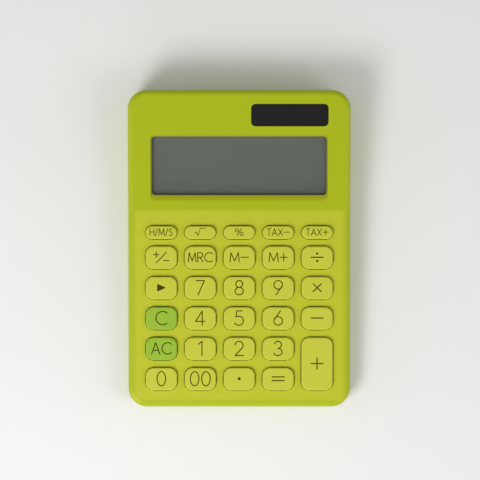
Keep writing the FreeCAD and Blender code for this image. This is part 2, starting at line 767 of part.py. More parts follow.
def screw_towers(body):
    """Six towers that meet the bosses of the upper case, each bored from below for its screw."""
    at_case_screws(body, pad, bar, "sizes.tower_diameter", PLAIN_SIDES, FLOOR_TOP,
                   f"sizes.part_line_height - {FLOOR_TOP}", True)
    at_case_screws(body, pocket, bore, "(sizes.tower_diameter + 2 * sizes.tower_fit)", PLAIN_SIDES,
                   "sizes.part_line_height", "sizes.rim_height", True)
    at_case_screws(body, pocket, bore, "(sizes.head_diameter + 2 * sizes.head_fit)", FINE_SIDES, SCREW_WEB,
                   SCREW_WEB, False)
    at_case_screws(body, pocket, bore, "(sizes.screw_diameter + 2 * sizes.screw_fit)", PLAIN_SIDES,
                   "sizes.part_line_height", "sizes.part_line_height", False)


def battery_well(body):
    """Raised platform, round well, screw boss and cover rebate of the battery compartment."""
    platform = new_sketch(body, at(COVER_X, CELL_Y, FLOOR_TOP))
    cover_outline(platform, "(sizes.cover_fit + sizes.platform_margin)")
    pad(body, platform, f"{PLATFORM_TOP} - {FLOOR_TOP}")
    well = new_sketch(body, at("sizes.cell_across", CELL_Y, PLATFORM_TOP))
    bar(well, WELL_OUTSIDE, FINE_SIDES)
    pad(body, well, f"{WELL_TOP} - {PLATFORM_TOP}")
    boss = new_sketch(body, at(COVER_SCREW_X, CELL_Y, PLATFORM_TOP))
    bar(boss, "sizes.cover_boss_diameter", PLAIN_SIDES)
    pad(body, boss, "sizes.cover_boss_height")
    rebate = new_sketch(body, at(COVER_X, CELL_Y, COVER_TOP))
    cover_outline(rebate, "sizes.cover_fit")
    pocket(body, rebate, COVER_TOP)
    hollow = new_sketch(body, at("sizes.cell_across", CELL_Y, WELL_TOP))
    bore(hollow, WELL_DIAMETER, FINE_SIDES)
    pocket(body, hollow, WELL_TOP)
    slot = new_sketch(body, at("sizes.cell_across", CELL_Y, WELL_TOP))
    rectangle(slot, "(sizes.contact_width + 2 * sizes.cell_fit)", f"({WELL_OUTSIDE} / 2)", "0",
              f"-{WELL_OUTSIDE} / 4")
    pocket(body, slot, f"{WELL_TOP} - {PLATFORM_TOP}")
    pilot = new_sketch(body, at(COVER_SCREW_X, CELL_Y, COVER_TOP))
    bore(pilot, "(sizes.screw_diameter + sizes.screw_fit)", PLAIN_SIDES)
    pilot_depth = "sizes.cover_screw_length - sizes.cover_thickness + sizes.cover_head_height"
    pocket(body, pilot, f"{pilot_depth} + sizes.screw_end_room", upward=True)
    tongue = new_sketch(body, at(COVER_X, CELL_Y, COVER_TOP))
    tongue_outline(tongue, "sizes.tongue_fit")
    pocket(body, tongue, "sizes.tongue_thickness + sizes.tongue_fit")


def cover_outline(sketch, grow):
    soft_rectangle(sketch, f"(sizes.cover_length + 2 * {grow})", f"(sizes.cover_width + 2 * {grow})",
                   f"sizes.cover_corner + {grow}")


def tongue_outline(sketch, grow):
    """Tongue on the left end of the battery cover, with its root inside the cover."""
    width = f"(sizes.tongue_reach + sizes.cover_corner + {grow})"
    middle = f"-(sizes.cover_length / 2 + sizes.tongue_reach + {grow} - {width} / 2)"
    rectangle(sketch, width, f"(sizes.tongue_width + 2 * {grow})", middle)


def battery_cover():
    """Flat lid with a tongue at one end and a sunk screw seat at the other."""
    body = new_body("battery_cover", at(COVER_X, CELL_Y, "sizes.foot_stand"))
    plate = new_sketch(body, at())
    cover_outline(plate, "0")
    pad(body, plate, "sizes.cover_thickness")
    tongue = new_sketch(body, at(z="sizes.cover_thickness - sizes.tongue_thickness"))
    tongue_outline(tongue, "0")
    pad(body, tongue, "sizes.tongue_thickness")
    screw_x = "(sizes.cover_screw_shift - sizes.cover_shift)"
    seat = new_sketch(body, at(screw_x, "0", "sizes.cover_head_height"))
    bore(seat, "(sizes.head_diameter + 2 * sizes.head_fit)", FINE_SIDES)
    pocket(body, seat, "sizes.cover_head_height")
    hole = new_sketch(body, at(screw_x, "0", "sizes.cover_thickness"))
    bore(hole, "(sizes.screw_diameter + 2 * sizes.screw_fit)", PLAIN_SIDES)
    pocket(body, hole, "sizes.cover_thickness")
    return body


def battery_cover_screw():
    head_top = "sizes.foot_stand + sizes.cover_head_height"
    body = new_body("battery_cover_screw", at(COVER_SCREW_X, CELL_Y, head_top))
    head = new_sketch(body, at())
    bar(head, "sizes.head_diameter", FINE_SIDES)
    pad(body, head, "sizes.cover_head_height", upward=False)
    shank = new_sketch(body, at())
    bar(shank, "sizes.screw_diameter", PLAIN_SIDES)
    pad(body, shank, "sizes.cover_screw_length")
    return body


def case_screws():
    """Six screws that stand in the towers with their heads down."""
    body = new_body("case_screws")
    at_case_screws(body, pad, bar, "sizes.head_diameter", FINE_SIDES, SCREW_WEB, "sizes.head_height", False)
    at_case_screws(body, pad, bar, "sizes.screw_diameter", PLAIN_SIDES, SCREW_WEB, "sizes.screw_length", True)
    return body


def small_screws(label, at_places, seat):
    """Small screws under a plate, heads down, at a set of places."""
    body = new_body(label)
    at_places(body, pad, bar, "sizes.small_head_diameter", seat, "sizes.small_head_height", False)
    at_places(body, pad, bar, "sizes.small_screw_diameter", seat, "sizes.small_screw_length", True)
    return body


def holder_screws():
    return small_screws("holder_screws", at_holder_posts, HOLDER_BOTTOM)


def board_screws():
    return small_screws("board_screws", at_posts, BOARD_BOTTOM)


def rubber_feet():
    body = new_body("rubber_feet")
    disc = new_sketch(body, at(f"-{FOOT_X}", f"-{FOOT_Y}"))
    bar(disc, "sizes.foot_diameter", FINE_SIDES)
    foot = pad(body, disc, "sizes.foot_stand + sizes.foot_recess")
    repeat(body, foot, 2, f"2 * {FOOT_X}", 2, f"2 * {FOOT_Y}")
    blend(body, "Chamfer", "sizes.foot_edge", is_level_at("0"))
    return body


def plate_under_keys(label, depth, thickness, side, rear, front):
    """Flat plate under the whole key field, with borders beyond the outer keys."""
    body = new_body(label, on_keypad("0", "0", depth))
    rear_edge = f"(sizes.first_row - sizes.small_key_length / 2 - {rear})"
    front_edge = f"({FIELD_END} + {front})"
    plate = new_sketch(body, at())
    rectangle(plate, f"({FIELD_WIDTH} + 2 * {side})", f"({front_edge} - {rear_edge})", "0",
              f"-({rear_edge} + {front_edge}) / 2")
    pad(body, plate, thickness)
    return body


def post_holes(body, diameter, thickness):
    """Holes of a plate under the keys where the posts or their screws pass."""
    holes = new_sketch(body, at(z=thickness))
    round_posts(holes, bore, diameter)
    pocket(body, holes, thickness)


def on_mat(across, along):
    return at(across, along, "sizes.mat_thickness")


def dome(body, sketch, kind):
    bar(sketch, "sizes.dome_diameter", PLAIN_SIDES)
    return pad(body, sketch, DOME_HEIGHT)


def key_mat():
    """Rubber sheet with one dome under each key and holes round the posts."""
    body = plate_under_keys("key_mat", BOARD_TOP, "sizes.mat_thickness", "0", "sizes.mat_rear_border",
                            "sizes.mat_front_border")
    post_holes(body, "(sizes.post_diameter + 2 * sizes.mat_hole_fit)", "sizes.mat_thickness")
    over_keys(body, on_mat, dome)
    blend(body, "Chamfer", "sizes.dome_edge", is_level_at(f"sizes.mat_thickness + {DOME_HEIGHT}"))
    return body


def circuit_board():
    body = plate_under_keys("circuit_board", BOARD_BOTTOM, "sizes.board_thickness", "sizes.board_side_border",
                            "sizes.board_rear_border", "sizes.board_front_border")
    post_holes(body, "(sizes.small_screw_diameter + 2 * sizes.screw_fit)", "sizes.board_thickness")
    return body


def chip_cover():
    """Low dome of resin over the chip, on the underside of the board."""
    body = new_body("chip_cover", on_keypad("0", "-sizes.chip_from_crease", BOARD_BOTTOM))
    base = new_sketch(body, at())
    bar(base, "sizes.chip_diameter", FINE_SIDES)
    pad(body, base, "sizes.chip_height", upward=False)
    blend(body, "Chamfer", "sizes.chip_edge", is_level_at("-sizes.chip_height"))
    return body


def capacitor():
    """Small can that lies under the board, across the case."""
    depth = f"{BOARD_BOTTOM} + sizes.capacitor_diameter / 2"
    body = new_body("capacitor", on_keypad("sizes.capacitor_across", "-sizes.capacitor_from_crease", depth))
    can = new_sketch(body, at(), "YZ_Plane")
    bar(can, "sizes.capacitor_diameter", FINE_SIDES)
    pad_both_ways(body, can, "sizes.capacitor_length")
    return body


def display_plate(label, grow, top, thickness, cut=None):
    """Flat plate behind the display opening, reaching past it all round."""
    body = new_body(label, on_display("0", OPENING_MIDDLE, f"{top} + {thickness}"))
    plate = new_sketch(body, at())
    rectangle(plate, f"({OPENING_WIDTH} + 2 * {grow})", f"(sizes.opening_length + 2 * {grow})")
    if cut:
        rectangle(plate, f"({OPENING_WIDTH} + 2 * {cut})", f"(sizes.opening_length + 2 * {cut})")
    pad(body, plate, thickness)
    return body


def window_tape():
    return display_plate("window_tape", "sizes.window_margin", "sizes.case_wall", "sizes.tape_thickness",
                         "(sizes.window_margin - sizes.tape_width)")


def display_window():
    return display_plate("display_window", "sizes.window_margin", WINDOW_TOP, "sizes.window_thickness")


def lcd_front_film():
    return display_plate("lcd_front_film", "sizes.glass_margin", WINDOW_BOTTOM, "sizes.film_thickness")


def lcd_rear_film():
    return display_plate("lcd_rear_film", "sizes.glass_margin", GLASS_BOTTOM, "sizes.film_thickness")


def lcd_panel():
    """Front glass on a longer rear glass that leaves a contact ledge at the crease."""
    body = display_plate("lcd_panel", "sizes.glass_margin", GLASS_TOP, "2 * sizes.glass_thickness")
    ledge = new_sketch(body, at())
    rectangle(ledge, f"({OPENING_WIDTH} + 2 * sizes.glass_margin)", "2 * sizes.glass_ledge", "0",
              "-(sizes.opening_length / 2 + sizes.glass_margin)")
    pad(body, ledge, "sizes.glass_thickness")
    return body


def lcd_holder():
    """Plate under the glass, screwed to the posts at its corners."""
    body = new_body("lcd_holder", on_display("0", OPENING_MIDDLE, HOLDER_BOTTOM))
    plate = new_sketch(body, at())
    rectangle(plate, f"({OPENING_WIDTH} + 2 * sizes.holder_side)",
              "(sizes.opening_length + 2 * sizes.holder_end)")
    pad(body, plate, "sizes.holder_thickness")
    first_post = at(f"-{HOLDER_POST_ACROSS} / 2", f"-{HOLDER_POST_ALONG} / 2", "sizes.holder_thickness")
    hole = new_sketch(body, first_post)
    bore(hole, "(sizes.small_screw_diameter + 2 * sizes.screw_fit)", PLAIN_SIDES)
    repeat(body, pocket(body, hole, "sizes.holder_thickness"), 2, HOLDER_POST_ACROSS, 2, HOLDER_POST_ALONG)
    return body


def lcd_ribbon():
    """Thin ribbon that leaves the glass ledge and drops to the rear edge of the board."""
    body = new_body("lcd_ribbon")
    profile = new_sketch(body, at(), "YZ_Plane")
    ledge_start = "(sizes.opening_border - sizes.glass_margin - sizes.glass_ledge)"
    board_edge = "(sizes.first_row - sizes.small_key_length / 2 - sizes.board_rear_border)"

    def line_of_bends(lift):
        glass, board = f"{GLASS_STEP} - {lift}", f"{BOARD_TOP} - {lift}"
        return [
            on_display("0", f"{ledge_start} + sizes.ribbon_lap", glass),
            on_display("0", f"{ledge_start} - sizes.ribbon_lap / 2", glass),
            on_keypad("0", f"sizes.ribbon_lap / 4 - {board_edge}", board),
            on_keypad("0", f"-sizes.ribbon_lap / 4 - {board_edge}", board),
        ]

    corners = line_of_bends("0") + line_of_bends("sizes.ribbon_thickness")[::-1]
    polygon(profile, [(corner["y"], corner["z"]) for corner in corners])
    pad_both_ways(body, profile, "sizes.ribbon_width")
    return body


def solar_outline(sketch, grow):
    soft_rectangle(sketch, f"(sizes.solar_width + 2 * {grow})", f"(sizes.solar_length + 2 * {grow})",
                   f"sizes.solar_corner + {grow}")


def solar_window():
    """Dark clear plug that fills the opening above the display, with a flange under the case wall."""
    body = new_body("solar_window", on_display(SOLAR_X, SOLAR_MIDDLE, FLANGE_BOTTOM))
    flange = new_sketch(body, at())
    solar_outline(flange, "sizes.solar_flange")
    pad(body, flange, "sizes.solar_flange_thickness")
    plug = new_sketch(body, at(z="sizes.solar_flange_thickness"))
    solar_outline(plug, "(-sizes.solar_fit)")
    pad(body, plug, "sizes.case_wall - sizes.solar_recess")
    return body


def solar_cell():
    body = new_body("solar_cell", on_display(SOLAR_X, SOLAR_MIDDLE, SOLAR_CELL_BOTTOM))
    plate = new_sketch(body, at())
    rectangle(plate, "(sizes.solar_width + 2 * sizes.solar_cell_margin)",
              "(sizes.solar_length + 2 * sizes.solar_cell_margin)")
    pad(body, plate, "sizes.solar_cell_thickness")
    return body


def button_cell():
    """Round cell with its wide can below and a narrower cap on top."""
    body = new_body("button_cell", at("sizes.cell_across", CELL_Y, CELL_BOTTOM))
    can = new_sketch(body, at())
    bar(can, "sizes.cell_diameter", FINE_SIDES)
    pad(body, can, "sizes.cell_height - sizes.cell_shoulder")
    cap = new_sketch(body, at(z="sizes.cell_height - sizes.cell_shoulder"))
    bar(cap, "(sizes.cell_diameter - 2 * sizes.cell_shoulder)", FINE_SIDES)
    pad(body, cap, "sizes.cell_shoulder")
    return body


def battery_contact_plus():
    """Bent leaf beside the cell, with a tab over the front of the well."""
    body = new_body("battery_contact_plus", at("sizes.cell_across", CELL_Y))
    profile = new_sketch(body, at(), "YZ_Plane")
    leaf_rear = "(-sizes.cell_diameter / 2 - sizes.cell_gap)"
    leaf_front = f"({leaf_rear} - sizes.contact_thickness)"
    tab_front = f"(-{WELL_OUTSIDE} / 2 - sizes.contact_tab)"
    tab_top = f"({WELL_TOP} + sizes.contact_thickness)"
    polygon(profile, [
        (leaf_rear, PLATFORM_TOP), (leaf_rear, tab_top), (tab_front, tab_top), (tab_front, WELL_TOP),
        (leaf_front, WELL_TOP), (leaf_front, PLATFORM_TOP),
    ])
    pad_both_ways(body, profile, "sizes.contact_width")
    return body


def battery_contact_minus():
    """Strip across the top of the well, with a tab past its left side."""
    body = new_body("battery_contact_minus", at("sizes.cell_across", CELL_Y, WELL_TOP))
    strip = new_sketch(body, at())
    rectangle(strip, f"({WELL_OUTSIDE} + sizes.contact_tab)", "sizes.contact_width", "-sizes.contact_tab / 2",
              "sizes.contact_width / 4")
    pad(body, strip, "sizes.contact_thickness")
    return body


def lead(body, across, start_y, start_z):
    """One wire: down from its tab, forward above the floor and up to the underside of the board."""
    bend = "sizes.lead_bend"
    low = f"({FLOOR_TOP} + sizes.lead_floor_room + sizes.lead_diameter / 2)"
    end = on_keypad("0", "-sizes.lead_from_crease", f"{BOARD_BOTTOM} + sizes.lead_gap")
    route = new_sketch(body, at(z=across), "YZ_Plane")
    first_bend = turn(f"{start_y} - {bend}", f"{low} + {bend}", bend, 0, -90, QUARTER_FACETS)
    last_bend = turn(f"{end['y']} + {bend}", f"{low} + {bend}", bend, 270, 180, QUARTER_FACETS)
    chain(route, [(start_y, start_z), *first_bend, *last_bend, (end["y"], end["z"])], closed=False)
    section = new_sketch(body, at(across, start_y, start_z))
    bar(section, "sizes.lead_diameter", PLAIN_SIDES)
    pipe = body.newObject("PartDesign::AdditivePipe", f"{body.Name}_pipe")
    pipe.Profile = section
    pipe.Spine = route
    pipe.Transition = "Right corner"
    body.Tip = pipe


def battery_leads():
    body = new_body("battery_leads")
    height = f"{WELL_TOP} - sizes.lead_gap"
    reach = f"({WELL_OUTSIDE} / 2 + sizes.contact_tab / 2)"
    lead(body, "sizes.cell_across", f"{CELL_Y} - {reach}", height)
    lead(body, f"sizes.cell_across - {reach}", CELL_Y, height)
    return body


def solar_leads():
    body = new_body("solar_leads")
    start = on_display("0", SOLAR_MIDDLE, f"{SOLAR_CELL_BOTTOM} + 2 * sizes.lead_gap")
    for side in ("-", "+"):
        lead(body, f"{SOLAR_X} {side} sizes.solar_lead_pitch / 2", start["y"], start["z"])
    return body


PIECES = [
    upper_case, lower_case, window_tape, display_window, lcd_front_film, lcd_panel, lcd_rear_film, lcd_holder,
    holder_screws, lcd_ribbon, solar_window, solar_cell, solar_leads, key_mat, circuit_board, board_screws,
    chip_cover, capacitor, button_cell, battery_contact_plus, battery_contact_minus, battery_leads,
    battery_cover, battery_cover_screw, case_screws, rubber_feet,
]


def check(pieces):
    """Stop if any object failed or any piece has no sound solid."""
    for item in doc.Objects:
        if "Invalid" in item.State or "Error" in item.State:
            raise RuntimeError(f"{item.Label} failed: {item.State} {item.getStatusString()}")
    for piece in pieces:
        if piece.Shape.isNull() or not piece.Shape.isValid() or not piece.Shape.Solids:
            raise RuntimeError(f"{piece.Label} has no sound solid")


pieces = [make() for make in PIECES] + all_keys()
doc.recompute()
check(pieces)
os.makedirs("parts", exist_ok=True)
for piece in pieces:
    piece.Shape.exportStep(f"parts/{piece.Label}.step")
    print(piece.Label, len(piece.Shape.Solids), round(piece.Shape.Volume, 2))
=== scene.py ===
import json
import math

import bmesh
import bpy
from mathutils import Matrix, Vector


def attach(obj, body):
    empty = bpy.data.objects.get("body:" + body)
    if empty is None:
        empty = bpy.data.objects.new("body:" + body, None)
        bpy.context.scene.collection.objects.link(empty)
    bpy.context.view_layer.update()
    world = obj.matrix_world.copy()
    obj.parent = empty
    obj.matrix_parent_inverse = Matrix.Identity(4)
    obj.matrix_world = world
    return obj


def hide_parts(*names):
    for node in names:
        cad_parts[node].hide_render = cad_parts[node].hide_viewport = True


# Looks of a lime desk calculator, in metres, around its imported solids.

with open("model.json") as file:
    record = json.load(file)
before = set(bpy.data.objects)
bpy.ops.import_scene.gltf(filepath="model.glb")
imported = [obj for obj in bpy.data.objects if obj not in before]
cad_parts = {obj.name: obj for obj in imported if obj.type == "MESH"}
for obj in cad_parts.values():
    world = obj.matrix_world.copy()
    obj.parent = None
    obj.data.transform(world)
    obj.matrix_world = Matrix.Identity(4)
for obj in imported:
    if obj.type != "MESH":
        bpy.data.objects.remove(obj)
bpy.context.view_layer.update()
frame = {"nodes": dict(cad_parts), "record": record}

MM = 0.001
# Points closer than this are one point
SAME_PLACE = 1e-6
# The two sloping faces of the upper case meet at the crease, and each rises to the rear over its run
CREASE_Y = 18.25 * MM
CREASE_Z = 14.95 * MM
KEYPAD_RISE = 4.55 * MM
KEYPAD_RUN = 93.0 * MM
DISPLAY_RISE = 8.15 * MM
DISPLAY_RUN = 56.5 * MM
KEYPAD_TILT = math.atan2(KEYPAD_RISE, KEYPAD_RUN)
KEYPAD_TURN = (KEYPAD_TILT, 0.0, 0.0)
DISPLAY_TILT = math.atan2(DISPLAY_RISE, DISPLAY_RUN)
# Key field; the tall key fills the last column of the last two rows
COLUMN_PITCH = 18.4 * MM
ROW_PITCH = 14.38 * MM
FIRST_ROW = 10.46 * MM
SMALL_ROW_PITCH = 11.87 * MM
MIDDLE_COLUMN = 2
TALL_KEY_COLUMN = 4
TALL_KEY_ROW = 4.5
# Key caps
KEY_WIDTH = 14.8 * MM
KEY_LENGTH = 10.8 * MM
SMALL_KEY_LENGTH = 6.2 * MM
KEY_CORNER = 3.8 * MM
KEY_RISE = 1.6 * MM
KEY_DEPTH = 2.7 * MM
KEY_EDGE = 0.6 * MM
# Undersides of the caps: the hollow, the lips that stay under the case and the stem over the dome
KEY_SKIRT = 2.0 * MM
SMALL_KEY_SKIRT = 1.4 * MM
HOLLOW_TOP = 0.2 * MM
HOLLOW_EDGE = 0.3 * MM
LIP_REACH = 0.9 * MM
LIP_LENGTH = 4.0 * MM
LIP_THICKNESS = 0.8 * MM
STEM_SIDE = 2.4 * MM
STEM_TOP = 0.7 * MM
STEM_BOTTOM = -2.9 * MM
# Printed legends
INK_HEIGHT = 0.03 * MM
DIGIT_HEIGHT = 6.75 * MM
DIGIT_STROKE = 0.52 * MM
SIGN_STROKE = 0.58 * MM
CLEAR_HEIGHT = 6.3 * MM
ALL_CLEAR_HEIGHT = 5.4 * MM
LETTER_HEIGHT = 4.35 * MM
LETTER_STROKE = 0.46 * MM
SMALL_HEIGHT = 3.15 * MM
SMALL_STROKE = 0.38 * MM
ROOT_HEIGHT = 3.6 * MM
ROOT_STROKE = 0.31 * MM
# Legends sit a little to the rear of the middle of their caps
LEGEND_SHIFT = 0.25 * MM
# Painted light: a paler panel round the keys, coloured lighter than the display section to stand in for how
# light falls on the keypad slope: half its width, its front edge and how softly it ends there and at the
# crease
PANEL_SIDE = 49.6 * MM
PANEL_FRONT = -72.0 * MM
PANEL_BLEND = 2.5 * MM
CREASE_BLEND = 0.7 * MM
# Painted shade on the bevel round the display, which faces away from the lamps: how far under the slope it
# begins, and limits of the area that holds it
BEVEL_TOP = 0.2 * MM
BEVEL_SIDE = 45.0 * MM
BEVEL_REAR = 57.0 * MM
BEVEL_BLEND = 0.2 * MM
# Painted shade: a dark line painted along the lower edge of the upper case, where it meets the lower one
PART_LINE_TOP = 6.25 * MM
PART_LINE_BLEND = 0.1 * MM
# Display from its front edge to its rear edge, and how much of its shade is speckle
DISPLAY_FRONT = 25.5 * MM
DISPLAY_LENGTH = 28.0 * MM
SPECKLE_SHARE = 0.3
# Solar cell: a place where a strip begins, the pitch of the strips and the width of the line between two
STRIP_START = 23.8 * MM
STRIP_PITCH = 9.1 * MM
STRIP_LINE = 0.273 * MM
STRIP_LINE_SHARE = 0.5
# Moulded grain: how much it varies the roughness, its depth and its strength on fine faces
GRAIN_SPREAD = 0.12
GRAIN_DEPTH = 0.04 * MM
FINE_GRAIN = 0.05
# Gloss of plastics, and how much the shade of the panel drifts
PLASTIC_GLOSS = 0.25
PANEL_DRIFT = 0.12
# Lines in drawn metal: how dark they are and how much they vary the roughness
METAL_LINE_SHADE = 0.8
METAL_LINE_SPREAD = 0.2
# Tracks of the circuit board: the wave height at which one begins, and how far it shows
TRACK_LEVEL = 0.75
TRACK_SHARE = 0.35
# Ink of the legends: how much paler its blotches are, and its gloss
INK_BLOTCH = 1.35
INK_GLOSS = 0.1
# Softened edges of the shells, and the angles in degrees that tell flats, curves and edges apart
CASE_SOFT_EDGE = 0.15 * MM
COVER_SOFT_EDGE = 0.2 * MM
FLAT_ANGLE = 0.2
SOFT_EDGE_ANGLE = 40
SHELL_SMOOTH_ANGLE = 35
ROUND_SMOOTH_ANGLE = 40
# Rubber feet
FOOT_DIAMETER = 10.0 * MM
FOOT_EDGE = 0.5 * MM
FOOT_HEIGHT = 1.6 * MM
FOOT_SPANS = (68.0 * MM, 120.0 * MM)
# Screws of the case and of the battery cover: heads, threaded shanks and the crosses in the heads
SCREW_HEAD = 3.8 * MM
SCREW_SPANS = (96.2 * MM, 124.0 * MM)
CASE_SCREW_BOTTOM = 2.9 * MM
CASE_SCREW_HEIGHT = 1.5 * MM
CASE_SCREW_LENGTH = 5.0 * MM
COVER_SCREW_PLACE = (-12.5 * MM, 46.0 * MM)
COVER_SCREW_BOTTOM = 1.0 * MM
COVER_SCREW_HEIGHT = 0.8 * MM
COVER_SCREW_LENGTH = 4.5 * MM
SHANK_DIAMETER = 2.2 * MM
SHANK_ROOT = 0.27 * MM
THREAD_PITCH = 0.8 * MM
THREAD_DEPTH = 0.25 * MM
CROSS_LENGTH = 2.4 * MM
CROSS_WIDTH = 0.6 * MM
CROSS_DEPTH = 0.5 * MM
# Camera straight above, as in the photo, whose frame is this many pixels wide
FRAME_PIXELS = 480
PIXELS_PER_METRE = 2114.0
CASE_MIDDLE_PIXEL = (239.2, 249.0)
LENS = 200.0
SENSOR = 36.0
MEAN_HEIGHT = 0.012
# The floor lies a hair below the feet so that the two faces don't coincide
FLOOR_GAP = 0.02 * MM
# The floor reaches this far from the object
FLOOR_REACH = 3.0
# Light of the surroundings on the object, and their brightness as a pale background
SURROUND_LEVEL = 0.38
SEEN_LEVEL = 0.88
# Soft lamps above the object: place, power and side
LAMPS = {
    "key lamp": ((-0.45, -0.5, 0.65), 4.75, 0.4),
    "fill lamp": ((0.65, -0.3, 0.65), 1.7, 0.5),
}
# Weak, wide and low lights that catch the edges of the keys
EDGE_LIGHTS = {
    "left edge light": (-0.8, 0.0, 0.2),
    "right edge light": (0.8, 0.0, 0.2),
    "front edge light": (0.0, -0.8, 0.2),
}
EDGE_LIGHT_POWER = 0.3
EDGE_LIGHT_SPREAD = math.radians(30)
# All lights point at this place
LIGHT_TARGET = (0.0, 0.0, 0.01)


def colour(red, green, blue):
    """Linear colour with alpha from a colour as it shows on a screen, 0 to 255."""
    shares = [value / 255 for value in (red, green, blue)]
    return tuple(s / 12.92 if s <= 0.04045 else ((s + 0.055) / 1.055) ** 2.4 for s in shares) + (1.0,)


class Wire:
    """An output of a node, so that sums on it can be written as Python expressions."""

    def __init__(self, nodes, socket):
        self.nodes = nodes
        self.socket = socket

    def maths(self, operation, first, second=0.0):
        return self.nodes.add("ShaderNodeMath", {"operation": operation}, {0: first, 1: second})

    def __add__(self, other):
        return self.maths("ADD", self, other)

    def __sub__(self, other):
        return self.maths("SUBTRACT", self, other)

    def __rsub__(self, other):
        return self.maths("SUBTRACT", other, self)

    def __mul__(self, other):
        return self.maths("MULTIPLY", self, other)

    def __truediv__(self, other):
        return self.maths("DIVIDE", self, other)

    __radd__ = __add__
    __rmul__ = __mul__

    def apply(self, operation, other=0.0):
        """A maths step with no operator of its own, such as SINE or MAXIMUM."""
        return self.maths(operation, self, other)

    def clamped(self):
        return self.apply("MAXIMUM", 0.0).apply("MINIMUM", 1.0)


class Nodes:
    """One node tree and the single way that nodes are added to it."""

    def __init__(self, tree):
        self.tree = tree

    def add(self, kind, settings=None, inputs=None, output=0):
        node = self.tree.nodes.new(kind)
        for name, value in (settings or {}).items():
            setattr(node, name, value)
        for key, value in (inputs or {}).items():
            values = value if isinstance(value, list) else [value]
            for single in values:
                self.feed(node.inputs[key], single)
        if not node.outputs:
            return node
        return Wire(self, node.outputs[output])

    def feed(self, socket, value):
        if isinstance(value, Wire):
            self.tree.links.new(value.socket, socket)
        else:
            socket.default_value = value


# Materials

def new_material(name):
    material = bpy.data.materials.new(name)
    material.use_nodes = True
    nodes = Nodes(material.node_tree)
    surface = material.node_tree.nodes["Principled BSDF"]
    return material, nodes, surface


def object_place(nodes):
    return nodes.add("ShaderNodeTexCoord", output="Object")


def axis(nodes, place, name):
    """One coordinate of a place."""
    return nodes.add("ShaderNodeSeparateXYZ", None, {0: place}, output=name)


def noise(nodes, place, scale, detail=2.0):
    return nodes.add("ShaderNodeTexNoise", None, {"Vector": place, "Scale": scale, "Detail": detail})


def shade_between(nodes, mask, first, second):
    shades = {"Factor": mask, 6: first, 7: second}
    return nodes.add("ShaderNodeMix", {"data_type": "RGBA"}, shades, output=2)


def vary_roughness(nodes, surface, pattern, least, spread):
    nodes.feed(surface.inputs["Roughness"], pattern * spread + least)


def add_grain(nodes, surface, place, roughness, grain):
    """Fine spark-eroded grain of a mould, in roughness and relief."""
    fine = noise(nodes, place, scale=4200.0, detail=1.0)
    vary_roughness(nodes, surface, fine, least=roughness - GRAIN_SPREAD / 2, spread=GRAIN_SPREAD)
    bump = nodes.add("ShaderNodeBump", None, {"Strength": grain, "Distance": GRAIN_DEPTH, "Height": fine})
    nodes.feed(surface.inputs["Normal"], bump)
    surface.inputs["Specular IOR Level"].default_value = PLASTIC_GLOSS


def moulded(name, shade, deep_shade, roughness, grain=FINE_GRAIN):
    """Moulded plastic or rubber: a little colour drift over the piece and a fine grain."""
    material, nodes, surface = new_material(name)
    place = object_place(nodes)
    drift = noise(nodes, place, scale=30.0)
    nodes.feed(surface.inputs["Base Color"], shade_between(nodes, drift, deep_shade, shade))
    add_grain(nodes, surface, place, roughness, grain)
    return material


def below(place, limit, blend):
    """Soft mask that is one where a coordinate is under a limit."""
    return (0.5 - (place - limit) / blend).clamped()


def case_plastic(name, deep_shade, painted_light_shade, painted_bevel_shade, roughness):
    """Case plastic with a paler panel round the keys, painted light for how light falls on the keypad
    slope, painted shade on the bevel round the display and a painted dark shadow line at its lower edge."""
    material, nodes, surface = new_material(name)
    place = object_place(nodes)
    across = axis(nodes, place, "X").apply("ABSOLUTE")
    along = axis(nodes, place, "Y")
    height = axis(nodes, place, "Z")
    # Painted light: the keypad panel gets a paler copy of the case colour
    painted_light_mask = below(across, PANEL_SIDE, PANEL_BLEND) * below(along, CREASE_Y, CREASE_BLEND)
    painted_light_mask = painted_light_mask * below(along * -1.0, -PANEL_FRONT, PANEL_BLEND)
    drift = noise(nodes, place, scale=30.0) * PANEL_DRIFT
    shade = shade_between(nodes, painted_light_mask - painted_light_mask * drift, deep_shade, painted_light_shade)
    # Painted shade: the bevel sunk under the display slope is coloured darker, as if in shadow
    sunk = (along - CREASE_Y) * math.sin(DISPLAY_TILT) - (height - CREASE_Z) * math.cos(DISPLAY_TILT)
    bevel = below(sunk * -1.0, -BEVEL_TOP, BEVEL_BLEND) * below(across, BEVEL_SIDE, BEVEL_BLEND)
    bevel = bevel * below(along, BEVEL_REAR, BEVEL_BLEND) * below(along * -1.0, -CREASE_Y, CREASE_BLEND)
    shade = shade_between(nodes, bevel, shade, painted_bevel_shade)
    # Painted shade along the seam between the two shells
    seam_shade_mask = below(height, PART_LINE_TOP, PART_LINE_BLEND)
    nodes.feed(surface.inputs["Base Color"], shade_between(nodes, seam_shade_mask, shade, SEAM_PAINTED_SHADE))
    add_grain(nodes, surface, place, roughness, FINE_GRAIN)
    return material


def metal(name, shade, roughness, stretch):
    """Drawn or plated metal with fine lines along one direction."""
    material, nodes, surface = new_material(name)
    place = nodes.add("ShaderNodeMapping", None, {"Vector": object_place(nodes), "Scale": stretch})
    lines = noise(nodes, place, scale=900.0, detail=3.0)
    dark = tuple(value * METAL_LINE_SHADE for value in shade[:3]) + (1.0,)
    nodes.feed(surface.inputs["Base Color"], shade_between(nodes, lines, dark, shade))
    least = roughness - METAL_LINE_SPREAD / 2
    vary_roughness(nodes, surface, lines, least, spread=METAL_LINE_SPREAD)
    surface.inputs["Metallic"].default_value = 1.0
    return material


